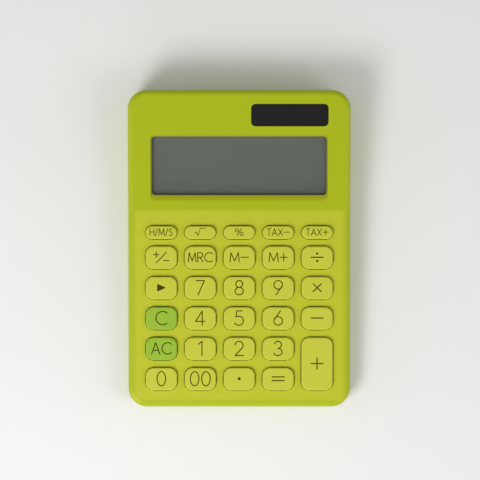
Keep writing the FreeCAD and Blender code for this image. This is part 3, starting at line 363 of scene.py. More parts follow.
def clear_sheet(name, shade, alpha, roughness):
    """Clear or tinted acrylic, glossy, with a trace of haze."""
    material, nodes, surface = new_material(name)
    haze = noise(nodes, object_place(nodes), scale=60.0)
    vary_roughness(nodes, surface, haze, least=roughness, spread=0.04)
    surface.inputs["Base Color"].default_value = shade
    surface.inputs["Alpha"].default_value = alpha
    surface.inputs["Specular IOR Level"].default_value = PLASTIC_GLOSS
    return material


def display_face(name, light, dark):
    """Grey display: slightly lighter towards the rear and dusted with a very fine speckle."""
    material, nodes, surface = new_material(name)
    place = object_place(nodes)
    rise = (axis(nodes, place, "Y") - DISPLAY_FRONT) / DISPLAY_LENGTH
    speckle = noise(nodes, place, scale=3000.0)
    mask = rise.clamped() * (1.0 - SPECKLE_SHARE) + speckle * SPECKLE_SHARE
    nodes.feed(surface.inputs["Base Color"], shade_between(nodes, mask, dark, light))
    vary_roughness(nodes, surface, speckle, least=0.4, spread=0.1)
    return material


def solar_face(name, dark, line):
    """Dark solar cell split by thin pale lines into equal strips."""
    material, nodes, surface = new_material(name)
    place = object_place(nodes)
    strips = ((axis(nodes, place, "X") - STRIP_START) / STRIP_PITCH).apply("FRACT")
    from_middle = (strips - 0.5).apply("ABSOLUTE")
    is_line = from_middle.apply("GREATER_THAN", 0.5 - STRIP_LINE / STRIP_PITCH / 2)
    nodes.feed(surface.inputs["Base Color"], shade_between(nodes, is_line * STRIP_LINE_SHARE, dark, line))
    vary_roughness(nodes, surface, noise(nodes, place, scale=800.0), least=0.2, spread=0.1)
    return material


def board_face(name, green, copper):
    """Green laminate with faint tracks that show through its mask."""
    material, nodes, surface = new_material(name)
    place = object_place(nodes)
    tracks = nodes.add("ShaderNodeTexWave", {"bands_direction": "X"},
                       {"Vector": place, "Scale": 120.0, "Distortion": 6.0, "Detail": 1.0}, output="Fac")
    mask = tracks.apply("GREATER_THAN", TRACK_LEVEL) * TRACK_SHARE
    nodes.feed(surface.inputs["Base Color"], shade_between(nodes, mask, green, copper))
    vary_roughness(nodes, surface, noise(nodes, place, scale=500.0), least=0.35, spread=0.1)
    return material


def printed_ink(name, shade):
    """Dark screen-printed ink, a little uneven."""
    material, nodes, surface = new_material(name)
    blotch = noise(nodes, object_place(nodes), scale=900.0)
    light = tuple(min(1.0, value * INK_BLOTCH) for value in shade[:3]) + (1.0,)
    nodes.feed(surface.inputs["Base Color"], shade_between(nodes, blotch, shade, light))
    vary_roughness(nodes, surface, blotch, least=0.55, spread=0.1)
    surface.inputs["Specular IOR Level"].default_value = INK_GLOSS
    return material


PLATED = colour(190, 190, 192)
# Painted shade of the seam: a darkened copy of the lime
SEAM_PAINTED_SHADE = colour(84, 92, 8)
FINISHES = {
    # Colour of the display section, its painted paler copy for the keypad panel, painted shade for the
    # display bevel, then roughness
    "lime_plastic": case_plastic("lime case plastic", colour(169, 183, 6), colour(193, 197, 44),
                                 colour(162, 167, 12), 0.42),
    "base_plastic": moulded("lime base plastic", colour(172, 184, 24), colour(166, 178, 18), 0.5,
                            grain=0.12),
    "key_plastic": moulded("pale lime key plastic", colour(201, 204, 63), colour(197, 200, 59), 0.38),
    "green_key_plastic": moulded("green key plastic", colour(155, 190, 55), colour(150, 186, 50), 0.38),
    "black_tape": moulded("black tape", colour(32, 32, 32), colour(26, 26, 26), 0.7),
    "inner_plastic": moulded("plain inner plastic", colour(205, 205, 200), colour(196, 196, 191), 0.5),
    "ribbon_film": moulded("pale ribbon film", colour(222, 218, 202), colour(214, 210, 194), 0.4),
    "lead_sheath": moulded("red lead sheath", colour(160, 40, 36), colour(148, 34, 32), 0.5),
    "mat_rubber": moulded("grey mat rubber", colour(178, 178, 176), colour(168, 168, 166), 0.75),
    "chip_resin": moulded("black chip resin", colour(28, 28, 28), colour(22, 22, 22), 0.35),
    "foot_rubber": moulded("dark foot rubber", colour(70, 70, 68), colour(60, 60, 58), 0.8, grain=0.2),
    "clear_window": clear_sheet("clear display window", colour(236, 240, 236), alpha=0.03, roughness=0.05),
    "solar_plastic": clear_sheet("dark solar window", colour(20, 16, 20), alpha=0.72, roughness=0.12),
    "display_film": display_face("grey display film", colour(74, 80, 72), colour(68, 74, 66)),
    "display_glass": display_face("grey display glass", colour(80, 86, 78), colour(74, 80, 72)),
    "solar_silicon": solar_face("solar cell coating", colour(26, 21, 26), colour(84, 78, 84)),
    "board_laminate": board_face("green board laminate", colour(52, 104, 58), colour(110, 138, 80)),
    "capacitor_can": metal("capacitor can", PLATED, roughness=0.35, stretch=(1.0, 8.0, 8.0)),
    "cell_steel": metal("cell steel", PLATED, roughness=0.3, stretch=(1.0, 12.0, 1.0)),
    "contact_brass": metal("sprung contact", colour(214, 196, 140), roughness=0.35,
                           stretch=(1.0, 10.0, 1.0)),
    "screw_steel": metal("plated screw steel", PLATED, roughness=0.35, stretch=(6.0, 1.0, 1.0)),
}
INK = printed_ink("legend ink", colour(62, 58, 0))


# Geometry Nodes trees

def new_tree(name, sockets):
    """A tree with a geometry input and output and named inputs for its sizes."""
    tree = bpy.data.node_groups.new(name, "GeometryNodeTree")
    tree.interface.new_socket("Geometry", in_out="INPUT", socket_type="NodeSocketGeometry")
    for label, kind in sockets:
        tree.interface.new_socket(label, in_out="INPUT", socket_type=f"NodeSocket{kind}")
    tree.interface.new_socket("Geometry", in_out="OUTPUT", socket_type="NodeSocketGeometry")
    nodes = Nodes(tree)
    entry = tree.nodes.new("NodeGroupInput")
    inputs = {socket.name: Wire(nodes, socket) for socket in entry.outputs if socket.name}
    return tree, nodes, inputs


def close_tree(nodes, geometry, inputs):
    """Place the made geometry, realise it and give it its material."""
    placed = nodes.add("GeometryNodeTransform", None, {
        "Geometry": geometry, "Translation": inputs["Place"], "Rotation": inputs["Turn"]})
    real = nodes.add("GeometryNodeRealizeInstances", None, {"Geometry": placed})
    painted = nodes.add("GeometryNodeSetMaterial", None, {"Geometry": real, "Material": inputs["Material"]})
    nodes.add("NodeGroupOutput", None, {"Geometry": painted})


PLACING = [("Place", "Vector"), ("Turn", "Vector"), ("Material", "Material")]
CAP_STEPS_AROUND = 56
# Rows of a cap's grid: two close its bottom, then comes its rounded edge, and two more close its top
CAP_WALL_ROW = 2
CAP_EDGE_STEPS = 6
CAP_TOP_ROW = CAP_WALL_ROW + CAP_EDGE_STEPS
CAP_ROWS = CAP_TOP_ROW + 3
CAP_TOP_RIM = 0.08


def cap_form(nodes, size):
    """Cap with round corners and a rounded top edge: a grid wrapped round the outline and closed."""
    grid = nodes.add("GeometryNodeMeshGrid", None, {
        "Size X": 1.0, "Size Y": 1.0, "Vertices X": CAP_STEPS_AROUND + 1, "Vertices Y": CAP_ROWS})
    place = nodes.add("GeometryNodeInputPosition")
    step = ((axis(nodes, place, "X") + 0.5) * CAP_STEPS_AROUND).apply("ROUND")
    row = ((axis(nodes, place, "Y") + 0.5) * (CAP_ROWS - 1)).apply("ROUND")
    angle = (step + 0.5) * (math.tau / CAP_STEPS_AROUND)
    bend = ((row - CAP_WALL_ROW) / CAP_EDGE_STEPS).clamped() * (math.pi / 2)
    inset = size["Edge"] * (1.0 - bend.apply("COSINE"))
    wall_height = size["Rise"] - size["Edge"] + size["Edge"] * bend.apply("SINE")
    is_raised = (row - 1.0).clamped()
    height = (wall_height + size["Depth"]) * is_raised - size["Depth"]
    bottom_reach = row.apply("MINIMUM", 1.0)
    top_row = (row - CAP_TOP_ROW).apply("MAXIMUM", 0.0)
    last_row = (top_row - 1.0).apply("MAXIMUM", 0.0)
    top_reach = 1.0 - top_row * CAP_TOP_RIM - last_row * (1.0 - 2.0 * CAP_TOP_RIM)
    reach = bottom_reach * top_reach
    radius = size["Corner"] - inset
    sides = []
    for turn, length in (("COSINE", "Width"), ("SINE", "Length")):
        direction = angle.apply(turn)
        centre = (size[length] / 2.0 - size["Corner"]) * direction.apply("SIGN")
        sides.append((centre + radius * direction) * reach)
    spot = nodes.add("ShaderNodeCombineXYZ", None, {0: sides[0], 1: sides[1], 2: height})
    wrapped = nodes.add("GeometryNodeSetPosition", None, {"Geometry": grid, "Position": spot})
    return nodes.add("GeometryNodeMergeByDistance", None, {"Geometry": wrapped, "Distance": SAME_PLACE})


CAP_SIZES = [(label, "Float") for label in ("Width", "Length", "Corner", "Rise", "Depth", "Edge")]


def move(nodes, geometry, place):
    return nodes.add("GeometryNodeTransform", None, {"Geometry": geometry, "Translation": place})


def unite(nodes, *forms):
    settings = {"operation": "UNION", "solver": "EXACT"}
    return nodes.add("GeometryNodeMeshBoolean", settings, {"Mesh": list(forms)})


def cut_away(nodes, form, tool):
    settings = {"operation": "DIFFERENCE", "solver": "EXACT"}
    return nodes.add("GeometryNodeMeshBoolean", settings, {"Mesh 1": form, "Mesh 2": tool})


def key_form(nodes, size):
    """Hollow cap with a lip on either side under the case and a stem that stands over its dome."""
    lip_sides = nodes.add("ShaderNodeCombineXYZ", None, {
        0: size["Width"] + 2.0 * LIP_REACH, 1: LIP_LENGTH, 2: LIP_THICKNESS})
    lip_bar = nodes.add("GeometryNodeMeshCube", None, {"Size": lip_sides})
    lip_middle = nodes.add("ShaderNodeCombineXYZ", None, {2: LIP_THICKNESS / 2 - size["Depth"]})
    hollow = cap_form(nodes, {
        "Width": size["Width"] - size["Skirt"] * 2.0, "Length": size["Length"] - size["Skirt"] * 2.0,
        "Corner": size["Corner"] - size["Skirt"], "Rise": HOLLOW_TOP, "Depth": size["Depth"] * 2.0,
        "Edge": HOLLOW_EDGE})
    stem = nodes.add("GeometryNodeMeshCube", None, {"Size": (STEM_SIDE, STEM_SIDE, STEM_TOP - STEM_BOTTOM)})
    solid = unite(nodes, cap_form(nodes, size), move(nodes, lip_bar, lip_middle))
    shell = cut_away(nodes, solid, hollow)
    return unite(nodes, shell, move(nodes, stem, (0.0, 0.0, (STEM_TOP + STEM_BOTTOM) / 2)))


def key_tree():
    tree, nodes, inputs = new_tree("key", CAP_SIZES + [("Skirt", "Float")] + PLACING)
    close_tree(nodes, key_form(nodes, inputs), inputs)
    return tree


def spread_tree(name, sockets, form):
    """One form repeated on a grid of points, for pieces that come in sets."""
    grid_sockets = [("Columns", "Int"), ("Rows", "Int"), ("Span X", "Float"), ("Span Y", "Float")]
    tree, nodes, inputs = new_tree(name, sockets + grid_sockets + PLACING)
    points = nodes.add("GeometryNodeMeshGrid", None, {
        "Size X": inputs["Span X"], "Size Y": inputs["Span Y"],
        "Vertices X": inputs["Columns"], "Vertices Y": inputs["Rows"]})
    copies = nodes.add("GeometryNodeInstanceOnPoints", None, {
        "Points": points, "Instance": form(nodes, inputs)})
    close_tree(nodes, copies, inputs)
    return tree


def foot_form(nodes, size):
    """A foot is a cap that stands upside down."""
    return nodes.add("GeometryNodeTransform", None, {
        "Geometry": cap_form(nodes, size), "Rotation": (math.pi, 0.0, 0.0)})


HEAD_SIDES = 40
THREAD_SIDES = 24
THREAD_STEPS = 52


def threaded_shank(nodes, length):
    """Bar about its own middle whose wall is pulled in along a helix to leave a thread."""
    bar = nodes.add("GeometryNodeMeshCylinder", None, {
        "Vertices": THREAD_SIDES, "Side Segments": THREAD_STEPS, "Radius": SHANK_DIAMETER / 2,
        "Depth": length})
    place = nodes.add("GeometryNodeInputPosition")
    x, y, z = (axis(nodes, place, name) for name in "XYZ")
    turn = (z / THREAD_PITCH - y.apply("ARCTAN2", x) / math.tau).apply("FRACT")
    groove = 1.0 - (turn - 0.5).apply("ABSOLUTE") * 2.0
    reach = 1.0 - groove * (2.0 * THREAD_DEPTH / SHANK_DIAMETER)
    spot = nodes.add("ShaderNodeCombineXYZ", None, {0: x * reach, 1: y * reach, 2: z})
    return nodes.add("GeometryNodeSetPosition", None, {"Geometry": bar, "Position": spot})


def screw_form(nodes, size):
    """Screw that stands on its head: a round head with a cross cut into it and a threaded shank."""
    disc = nodes.add("GeometryNodeMeshCylinder", None, {
        "Vertices": HEAD_SIDES, "Radius": size["Head"] / 2.0, "Depth": size["Height"]})
    disc_middle = nodes.add("ShaderNodeCombineXYZ", None, {2: size["Height"] / 2.0})
    shank_length = size["Length"] + SHANK_ROOT
    shank_middle = nodes.add("ShaderNodeCombineXYZ", None, {
        2: size["Height"] - SHANK_ROOT + shank_length / 2.0})
    bars = []
    for turn in (0.0, math.pi / 2):
        bar = nodes.add("GeometryNodeMeshCube", None, {
            "Size": (CROSS_LENGTH, CROSS_WIDTH, 2.0 * CROSS_DEPTH)})
        bars.append(nodes.add("GeometryNodeTransform", None, {
            "Geometry": bar, "Rotation": (0.0, 0.0, turn)}))
    head = cut_away(nodes, move(nodes, disc, disc_middle), unite(nodes, *bars))
    return unite(nodes, head, move(nodes, threaded_shank(nodes, shank_length), shank_middle))


STROKE_SIDES = 12


def stroke_tree():
    """Printed strokes: every line of the drawing becomes a flat ribbon of ink, with round joints."""
    tree, nodes, inputs = new_tree("printed strokes", [("Stroke", "Float"), ("Height", "Float")] + PLACING)
    radius = inputs["Stroke"] / 2.0
    lines = nodes.add("GeometryNodeMeshToCurve", None, {"Mesh": inputs["Geometry"]})
    section = nodes.add("GeometryNodeCurvePrimitiveCircle", None, {
        "Resolution": STROKE_SIDES, "Radius": radius})
    tubes = nodes.add("GeometryNodeCurveToMesh", None, {
        "Curve": lines, "Profile Curve": section, "Fill Caps": True})
    is_joint = nodes.add("GeometryNodeInputNamedAttribute", {"data_type": "BOOLEAN"}, {"Name": "joint"})
    ball = nodes.add("GeometryNodeMeshUVSphere", None, {
        "Segments": STROKE_SIDES, "Rings": STROKE_SIDES // 2, "Radius": radius})
    joints = nodes.add("GeometryNodeInstanceOnPoints", None, {
        "Points": inputs["Geometry"], "Selection": is_joint, "Instance": ball})
    drawn = nodes.add("GeometryNodeJoinGeometry", None, {"Geometry": [tubes, joints]})
    flat = nodes.add("ShaderNodeCombineXYZ", None, {0: 1.0, 1: 1.0, 2: inputs["Height"] / inputs["Stroke"]})
    real = nodes.add("GeometryNodeRealizeInstances", None, {"Geometry": drawn})
    ribbons = nodes.add("GeometryNodeTransform", None, {"Geometry": real, "Scale": flat})
    close_tree(nodes, ribbons, inputs)
    return tree


def grow(name, tree, values, mesh=None):
    """Run a tree on a mesh and keep the result as a plain mesh at the origin."""
    piece = bpy.data.objects.new(name, mesh or bpy.data.meshes.new(name))
    bpy.context.collection.objects.link(piece)
    modifier = piece.modifiers.new(tree.name, "NODES")
    modifier.node_group = tree
    for item in tree.interface.items_tree:
        if item.in_out == "INPUT" and item.name in values:
            modifier[item.identifier] = values[item.name]
    graph = bpy.context.evaluated_depsgraph_get()
    result = bpy.data.meshes.new_from_object(piece.evaluated_get(graph))
    piece.modifiers.clear()
    piece.data = result
    return piece


def recalculate_outside(piece):
    work = bmesh.new()
    work.from_mesh(piece.data)
    bmesh.ops.recalc_face_normals(work, faces=work.faces)
    work.to_mesh(piece.data)
    work.free()


def smooth(mesh, degrees):
    """Smooth shading that keeps edges sharper than an angle."""
    mesh.polygons.foreach_set("use_smooth", [True] * len(mesh.polygons))
    mesh.set_sharp_from_angle(angle=math.radians(degrees))


def on_keypad(across, along, lift):
    """A point on the keypad slope: along runs up the slope from the crease, lift stands off it."""
    y = CREASE_Y + along * math.cos(KEYPAD_TILT) - lift * math.sin(KEYPAD_TILT)
    z = CREASE_Z + along * math.sin(KEYPAD_TILT) + lift * math.cos(KEYPAD_TILT)
    return (across, y, z)


# Key legends: every glyph is drawn in a box one unit high

def arc(x, y, wide, high, start, end, steps=20):
    """Points of a part of an ellipse, from one angle to another in degrees."""
    points = []
    for step in range(steps + 1):
        angle = math.radians(start + (end - start) * step / steps)
        points.append((x + wide * math.cos(angle), y + high * math.sin(angle)))
    return points


def ring(x, y, wide, high):
    return arc(x, y, wide, high, 0, 360, 32)


def dot(x, y, size):
    """Round dot filled by rings one in another."""
    return [ring(x, y, size * share, size * share) for share in (0.8, 0.35)]


def triangle(x, y, size):
    return [(x - size, y - size), (x + 1.3 * size, y), (x - size, y + size), (x - size, y - size)]


GLYPHS = {
    "0": (0.6, [ring(0.3, 0.5, 0.3, 0.5)]),
    "1": (0.24, [[(0.0, 0.8), (0.24, 1.0), (0.24, 0.0)]]),
    "2": (0.58, [arc(0.28, 0.71, 0.28, 0.29, 175, -38) + [(0.0, 0.0), (0.58, 0.0)]]),
    "3": (0.56, [arc(0.26, 0.75, 0.25, 0.25, 160, -90), arc(0.26, 0.25, 0.3, 0.25, 90, -160)]),
    "4": (0.64, [[(0.46, 0.0), (0.46, 1.0), (0.0, 0.27), (0.64, 0.27)]]),
    "5": (0.58, [[(0.5, 1.0), (0.12, 1.0), (0.06, 0.58)] + arc(0.26, 0.31, 0.32, 0.32, 125, -150)]),
    "6": (0.6, [ring(0.3, 0.3, 0.3, 0.3), [(0.45, 1.0), (0.05, 0.42)]]),
    "7": (0.58, [[(0.0, 1.0), (0.58, 1.0), (0.14, 0.0)]]),
    "8": (0.58, [ring(0.29, 0.76, 0.24, 0.24), ring(0.29, 0.26, 0.29, 0.26)]),
    "9": (0.6, [ring(0.3, 0.7, 0.3, 0.3), [(0.55, 0.58), (0.15, 0.0)]]),
    "A": (0.72, [[(0.0, 0.0), (0.36, 1.0), (0.72, 0.0)], [(0.12, 0.33), (0.6, 0.33)]]),
    "C": (0.8, [arc(0.5, 0.5, 0.5, 0.5, 48, 312)]),
    "H": (0.62, [[(0.0, 0.0), (0.0, 1.0)], [(0.62, 0.0), (0.62, 1.0)], [(0.0, 0.52), (0.62, 0.52)]]),
    "M": (0.84, [[(0.0, 0.0), (0.09, 1.0), (0.42, 0.1), (0.75, 1.0), (0.84, 0.0)]]),
    "wide M": (1.0, [[(0.0, 0.0), (0.1, 1.0), (0.5, 0.1), (0.9, 1.0), (1.0, 0.0)]]),
    "R": (0.56, [[(0.0, 0.0), (0.0, 1.0)], [(0.0, 1.0), *arc(0.28, 0.74, 0.26, 0.26, 90, -90), (0.0, 0.48)],
                 [(0.24, 0.48), (0.56, 0.0)]]),
    "S": (0.5, [arc(0.25, 0.75, 0.22, 0.25, 35, 270, 16)[:-1] + arc(0.24, 0.26, 0.25, 0.26, 90, -145, 16)]),
    "T": (0.56, [[(0.0, 1.0), (0.56, 1.0)], [(0.28, 1.0), (0.28, 0.0)]]),
    "X": (0.64, [[(0.0, 1.0), (0.64, 0.0)], [(0.0, 0.0), (0.64, 1.0)]]),
    "/": (0.32, [[(0.0, -0.05), (0.32, 1.05)]]),
    "%": (1.2, [ring(0.25, 0.76, 0.23, 0.25), ring(0.95, 0.24, 0.23, 0.25), [(0.28, 0.0), (0.92, 1.0)]]),
    "+": (0.8, [[(0.0, 0.5), (0.8, 0.5)], [(0.4, 0.1), (0.4, 0.9)]]),
    "-": (0.8, [[(0.0, 0.5), (0.8, 0.5)]]),
    "x": (0.55, [[(0.0, 0.23), (0.55, 0.77)], [(0.0, 0.77), (0.55, 0.23)]]),
    "=": (0.84, [[(0.0, 0.63), (0.84, 0.63)], [(0.0, 0.37), (0.84, 0.37)]]),
    "divide": (0.84, [[(0.0, 0.5), (0.84, 0.5)], *dot(0.42, 0.76, 0.05), *dot(0.42, 0.24, 0.05)]),
    "point": (0.2, dot(0.1, 0.5, 0.085)),
    "arrow": (0.5, [triangle(0.22, 0.5, size) for size in (0.22, 0.16, 0.1, 0.04)]),
    "root": (1.4, [[(0.0, 0.42), (0.16, 0.52), (0.42, 0.02), (0.72, 1.0), (1.4, 1.0)]]),
    "sign": (1.67, [[(0.0, 0.78), (0.6, 0.78)], [(0.3, 0.48), (0.3, 1.08)], [(0.32, -0.08), (1.4, 1.05)],
                    [(1.1, 0.14), (1.67, 0.14)]]),
}
LETTER_SPACE = 0.19
# A stroke that turns more sharply than this is drawn in parts with a round joint
SHARP_TURN = math.radians(30)

DIGIT = (DIGIT_HEIGHT, DIGIT_STROKE)
CLEAR = (CLEAR_HEIGHT, DIGIT_STROKE)
ALL_CLEAR = (ALL_CLEAR_HEIGHT, DIGIT_STROKE)
LETTER = (LETTER_HEIGHT, LETTER_STROKE)
SMALL = (SMALL_HEIGHT, SMALL_STROKE)
ROOT = (ROOT_HEIGHT, ROOT_STROKE)
SIGN = (DIGIT_HEIGHT, SIGN_STROKE)
# Key name, glyphs of its legend and their size, by rows from the crease
KEY_ROWS = [
    [("hms", "H/M/S", SMALL), ("root", ["root"], ROOT), ("percent", "%", SMALL),
     ("tax_minus", "TAX-", SMALL), ("tax_plus", "TAX+", SMALL)],
    [("sign", ["sign"], LETTER), ("memory_recall", "MRC", LETTER),
     ("memory_minus", ["wide M", "-"], LETTER), ("memory_plus", ["wide M", "+"], LETTER),
     ("divide", ["divide"], SIGN)],
    [("backspace", ["arrow"], DIGIT), ("7", "7", DIGIT), ("8", "8", DIGIT), ("9", "9", DIGIT),
     ("multiply", "x", SIGN)],
    [("clear", "C", CLEAR), ("4", "4", DIGIT), ("5", "5", DIGIT), ("6", "6", DIGIT), ("minus", "-", SIGN)],
    [("all_clear", "AC", ALL_CLEAR), ("1", "1", DIGIT), ("2", "2", DIGIT), ("3", "3", DIGIT)],
    [("0", "0", DIGIT), ("00", "00", DIGIT), ("point", ["point"], DIGIT), ("equals", "=", SIGN)],
]
GREEN_KEYS = ("clear", "all_clear")


def smooth_runs(stroke):
    """Parts of a stroke between its sharp corners."""
    runs = [stroke[:1]]
    for before, corner, after in zip(stroke, stroke[1:], stroke[2:]):
        runs[-1].append(corner)
        arriving = Vector(corner) - Vector(before)
        if arriving.angle(Vector(after) - Vector(corner)) > SHARP_TURN:
            runs.append([corner])
    runs[-1].append(stroke[-1])
    return runs


def legend_drawing(name, glyphs, height):
    """Mesh of bare edges that draws a row of glyphs about its own middle, with its joints marked."""
    strokes = []
    pen = 0.0
    for glyph in glyphs:
        width, parts = GLYPHS[glyph]
        strokes += [[(pen + x, y) for x, y in part] for part in parts]
        pen += width + LETTER_SPACE
    middle = (pen - LETTER_SPACE) / 2
    points, edges, joints = [], [], []
    for stroke in strokes:
        is_closed = math.dist(stroke[0], stroke[-1]) < SAME_PLACE
        runs = smooth_runs(stroke)
        is_ring = is_closed and len(runs) == 1
        for run in runs:
            first = len(points)
            corners = run[:-1] if is_ring else run
            points += [((x - middle) * height, (y - 0.5) * height, 0.0) for x, y in corners]
            last = len(points) - 1
            edges += [(number, number + 1) for number in range(first, last)]
            if is_ring:
                edges.append((last, first))
            else:
                joints.append(last)
        if not is_closed:
            joints.append(len(points) - sum(len(run) for run in runs))
    mesh = bpy.data.meshes.new(name)
    mesh.from_pydata(points, edges, [])
    marks = mesh.attributes.new("joint", "BOOLEAN", "POINT")
    spots = {tuple(round(value, 6) for value in points[number]): number for number in joints}
    for number in spots.values():
        marks.data[number].value = True
    return mesh


def row_place(row):
    """Place of a row of keys along the slope, from the crease."""
    if row == 0:
        return -FIRST_ROW
    return -(FIRST_ROW + SMALL_ROW_PITCH + (row - 1) * ROW_PITCH)


def key_places():
    """Name, legend, legend size, place along the slope, column and kind of every key."""
    places = []
    for row, keys in enumerate(KEY_ROWS):
        kind = "small" if row == 0 else "standard"
        for column, (name, glyphs, size) in enumerate(keys):
            places.append((name, glyphs, size, row_place(row), column, kind))
    places.append(("plus", "+", SIGN, row_place(TALL_KEY_ROW), TALL_KEY_COLUMN, "tall"))
    return places


KEY_LENGTHS = {"small": SMALL_KEY_LENGTH, "standard": KEY_LENGTH, "tall": KEY_LENGTH + ROW_PITCH}


def make_cap(tree, name, across, along, kind):
    """Rounded hollow cap on its own moving body."""
    slot = "green_key_plastic" if name in GREEN_KEYS else "key_plastic"
    corner = SMALL_KEY_LENGTH / 2 if kind == "small" else KEY_CORNER
    skirt = SMALL_KEY_SKIRT if kind == "small" else KEY_SKIRT
    cap = grow(f"cap_{name}", tree, {
        "Width": KEY_WIDTH, "Length": KEY_LENGTHS[kind], "Corner": corner, "Rise": KEY_RISE,
        "Depth": KEY_DEPTH, "Edge": KEY_EDGE, "Skirt": skirt, "Turn": KEYPAD_TURN,
        "Place": on_keypad(across, along, 0.0), "Material": FINISHES[slot]})
    recalculate_outside(cap)
    smooth(cap.data, ROUND_SMOOTH_ANGLE)
    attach(cap, f"key_{name}_cap")
    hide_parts(f"key_{name}")


def make_legend(tree, name, glyphs, size, across, along):
    """Printed legend that moves with its cap."""
    height, stroke = size
    drawing = legend_drawing(f"legend_{name}", glyphs, height)
    legend = grow(f"legend_{name}", tree, {
        "Stroke": stroke, "Height": INK_HEIGHT, "Turn": KEYPAD_TURN, "Material": INK,
        "Place": on_keypad(across, along + LEGEND_SHIFT, KEY_RISE)}, drawing)
    recalculate_outside(legend)
    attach(legend, f"key_{name}_cap")


def make_keys():
    """Cap and legend of every key."""
    caps = key_tree()
    strokes = stroke_tree()
    for name, glyphs, size, along, column, kind in key_places():
        across = (column - MIDDLE_COLUMN) * COLUMN_PITCH
        make_cap(caps, name, across, along, kind)
        make_legend(strokes, name, glyphs, size, across, along)


# Shells and undersides

def smooth_copy(node, edge):
    """A copy of a moulded shell with its facets joined, its flats cleaned and its sharp edges softened."""
    source = frame["nodes"][node]
    slot = slot_of(node)
    mesh = source.data.copy()
    work = bmesh.new()
    work.from_mesh(mesh)
    flat = math.radians(FLAT_ANGLE)
    bmesh.ops.remove_doubles(work, verts=work.verts, dist=SAME_PLACE)
    bmesh.ops.dissolve_limit(work, angle_limit=flat, verts=work.verts, edges=work.edges)
    work.to_mesh(mesh)
    work.free()
    mesh.materials.clear()
    mesh.materials.append(FINISHES[slot])
    piece = bpy.data.objects.new(f"{node}_shell", mesh)
    bpy.context.collection.objects.link(piece)
    bevel = piece.modifiers.new("soft edges", "BEVEL")
    bevel.width = edge
    bevel.segments = 2
    bevel.limit_method = "ANGLE"
    bevel.angle_limit = math.radians(SOFT_EDGE_ANGLE)
    bevel.harden_normals = True
    flats = piece.modifiers.new("flat faces", "WEIGHTED_NORMAL")
    flats.weight = 100
    flats.keep_sharp = True
    smooth(mesh, SHELL_SMOOTH_ANGLE)
    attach(piece, "case")
    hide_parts(node)


def slot_of(node):
    return next(part["material_slot"] for part in frame["record"]["subparts"] if part["node"] == node)


def make_feet():
    """Four rubber feet with rounded lower edges."""
    tree = spread_tree("rubber feet", CAP_SIZES, foot_form)
    feet = grow("feet", tree, {
        "Width": FOOT_DIAMETER, "Length": FOOT_DIAMETER, "Corner": FOOT_DIAMETER / 2, "Rise": FOOT_HEIGHT,
        "Depth": 0.0, "Edge": FOOT_EDGE, "Columns": 2, "Rows": 2, "Span X": FOOT_SPANS[0],
        "Span Y": FOOT_SPANS[1], "Place": (0.0, 0.0, FOOT_HEIGHT), "Turn": (0.0, 0.0, 0.0),
        "Material": FINISHES["foot_rubber"]})
    recalculate_outside(feet)
    smooth(feet.data, ROUND_SMOOTH_ANGLE)
    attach(feet, "case")
    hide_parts("rubber_feet")


def make_screws():
    """Cross-headed screws of the case and of the battery cover."""
    sizes = [(label, "Float") for label in ("Head", "Height", "Length")]
    tree = spread_tree("screws", sizes, screw_form)
    case_place = (0.0, 0.0, CASE_SCREW_BOTTOM)
    cover_place = (*COVER_SCREW_PLACE, COVER_SCREW_BOTTOM)
    sets = [
        ("threaded_case_screws", "case_screws", 2, 3, SCREW_SPANS, case_place,
         CASE_SCREW_HEIGHT, CASE_SCREW_LENGTH),
        ("threaded_cover_screw", "battery_cover_screw", 1, 1, (0.0, 0.0), cover_place,
         COVER_SCREW_HEIGHT, COVER_SCREW_LENGTH),
    ]
    for name, node, columns, rows, spans, place, height, length in sets:
        screws = grow(name, tree, {
            "Head": SCREW_HEAD, "Height": height, "Length": length, "Columns": columns, "Rows": rows,
            "Span X": spans[0], "Span Y": spans[1], "Place": place, "Turn": (0.0, 0.0, 0.0),
            "Material": FINISHES["screw_steel"]})
        recalculate_outside(screws)
        smooth(screws.data, SHELL_SMOOTH_ANGLE)
        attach(screws, "case")
        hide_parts(node)


def paint_nodes():
    """Give every CAD node the finish of its slot."""
    for name, node in frame["nodes"].items():
        for place in node.material_slots:
            place.material = FINISHES[slot_of(name)]


# Stage

def make_floor():
    """Plain pale floor."""
    material, nodes, surface = new_material("pale floor")
    drift = noise(nodes, object_place(nodes), scale=3.0)
    shade = shade_between(nodes, drift, colour(240, 240, 238), colour(244, 244, 242))
    nodes.feed(surface.inputs["Base Color"], shade)
    surface.inputs["Roughness"].default_value = 0.9
    mesh = bpy.data.meshes.new("floor")
    directions = ((-1, -1), (1, -1), (1, 1), (-1, 1))
    corners = [(x * FLOOR_REACH, y * FLOOR_REACH, -FLOOR_GAP) for x, y in directions]
    mesh.from_pydata(corners, [], [(0, 1, 2, 3)])
    mesh.materials.append(material)
    floor = bpy.data.objects.new("floor", mesh)
    bpy.context.collection.objects.link(floor)


def aim(name, data, place):
    """Put a light at a place and turn it to the object."""
    lamp = bpy.data.objects.new(name, data)
    lamp.location = place
    direction = Vector(LIGHT_TARGET) - Vector(place)
    lamp.rotation_euler = direction.to_track_quat("-Z", "Y").to_euler()
    bpy.context.collection.objects.link(lamp)


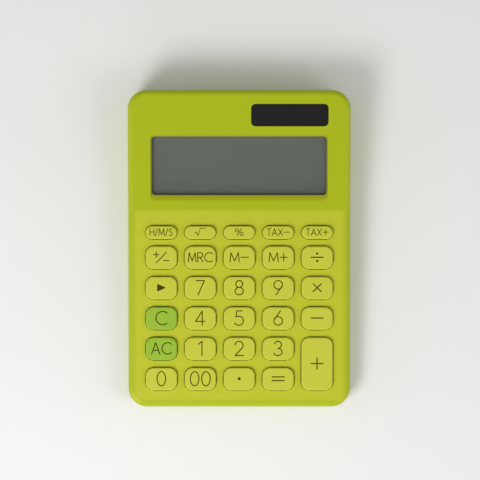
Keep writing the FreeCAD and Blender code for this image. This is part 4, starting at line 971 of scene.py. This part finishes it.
def make_lamp(name, place, power, side):
    """Soft square lamp."""
    data = bpy.data.lights.new(name, "AREA")
    data.energy = power
    data.size = side
    aim(name, data, place)


def make_edge_light(name, place):
    """Weak and wide light from far away."""
    data = bpy.data.lights.new(name, "SUN")
    data.energy = EDGE_LIGHT_POWER
    data.angle = EDGE_LIGHT_SPREAD
    aim(name, data, place)


def make_light():
    """Even pale surroundings, two soft lamps above and three low edge lights."""
    world = bpy.data.worlds.new("studio")
    world.use_nodes = True
    nodes = Nodes(world.node_tree)
    background = world.node_tree.nodes["Background"]
    background.inputs["Color"].default_value = (1.0, 1.0, 1.0, 1.0)
    ray_kinds = ("Is Camera Ray", "Is Glossy Ray", "Is Transmission Ray")
    camera, glossy, clear = (nodes.add("ShaderNodeLightPath", output=kind) for kind in ray_kinds)
    is_seen = camera.apply("MAXIMUM", glossy).apply("MAXIMUM", clear)
    nodes.feed(background.inputs["Strength"], is_seen * (SEEN_LEVEL - SURROUND_LEVEL) + SURROUND_LEVEL)
    bpy.context.scene.world = world
    for name, (place, power, side) in LAMPS.items():
        make_lamp(name, place, power, side)
    for name, place in EDGE_LIGHTS.items():
        make_edge_light(name, place)


def make_camera():
    """Camera straight above, with the case at the pixels where the photo shows it."""
    data = bpy.data.cameras.new("camera")
    data.lens = LENS
    data.sensor_width = SENSOR
    camera = bpy.data.objects.new("camera", data)
    half_width = FRAME_PIXELS / PIXELS_PER_METRE / 2
    x = (FRAME_PIXELS / 2 - CASE_MIDDLE_PIXEL[0]) / PIXELS_PER_METRE
    y = (CASE_MIDDLE_PIXEL[1] - FRAME_PIXELS / 2) / PIXELS_PER_METRE
    camera.location = (x, y, MEAN_HEIGHT + half_width * LENS / (SENSOR / 2))
    bpy.context.collection.objects.link(camera)
    bpy.context.scene.camera = camera


paint_nodes()
smooth_copy("upper_case", CASE_SOFT_EDGE)
smooth_copy("lower_case", CASE_SOFT_EDGE)
smooth_copy("battery_cover", COVER_SOFT_EDGE)
make_keys()
make_feet()
make_screws()
make_floor()
make_light()
make_camera()
bpy.context.scene.view_settings.view_transform = "Standard"
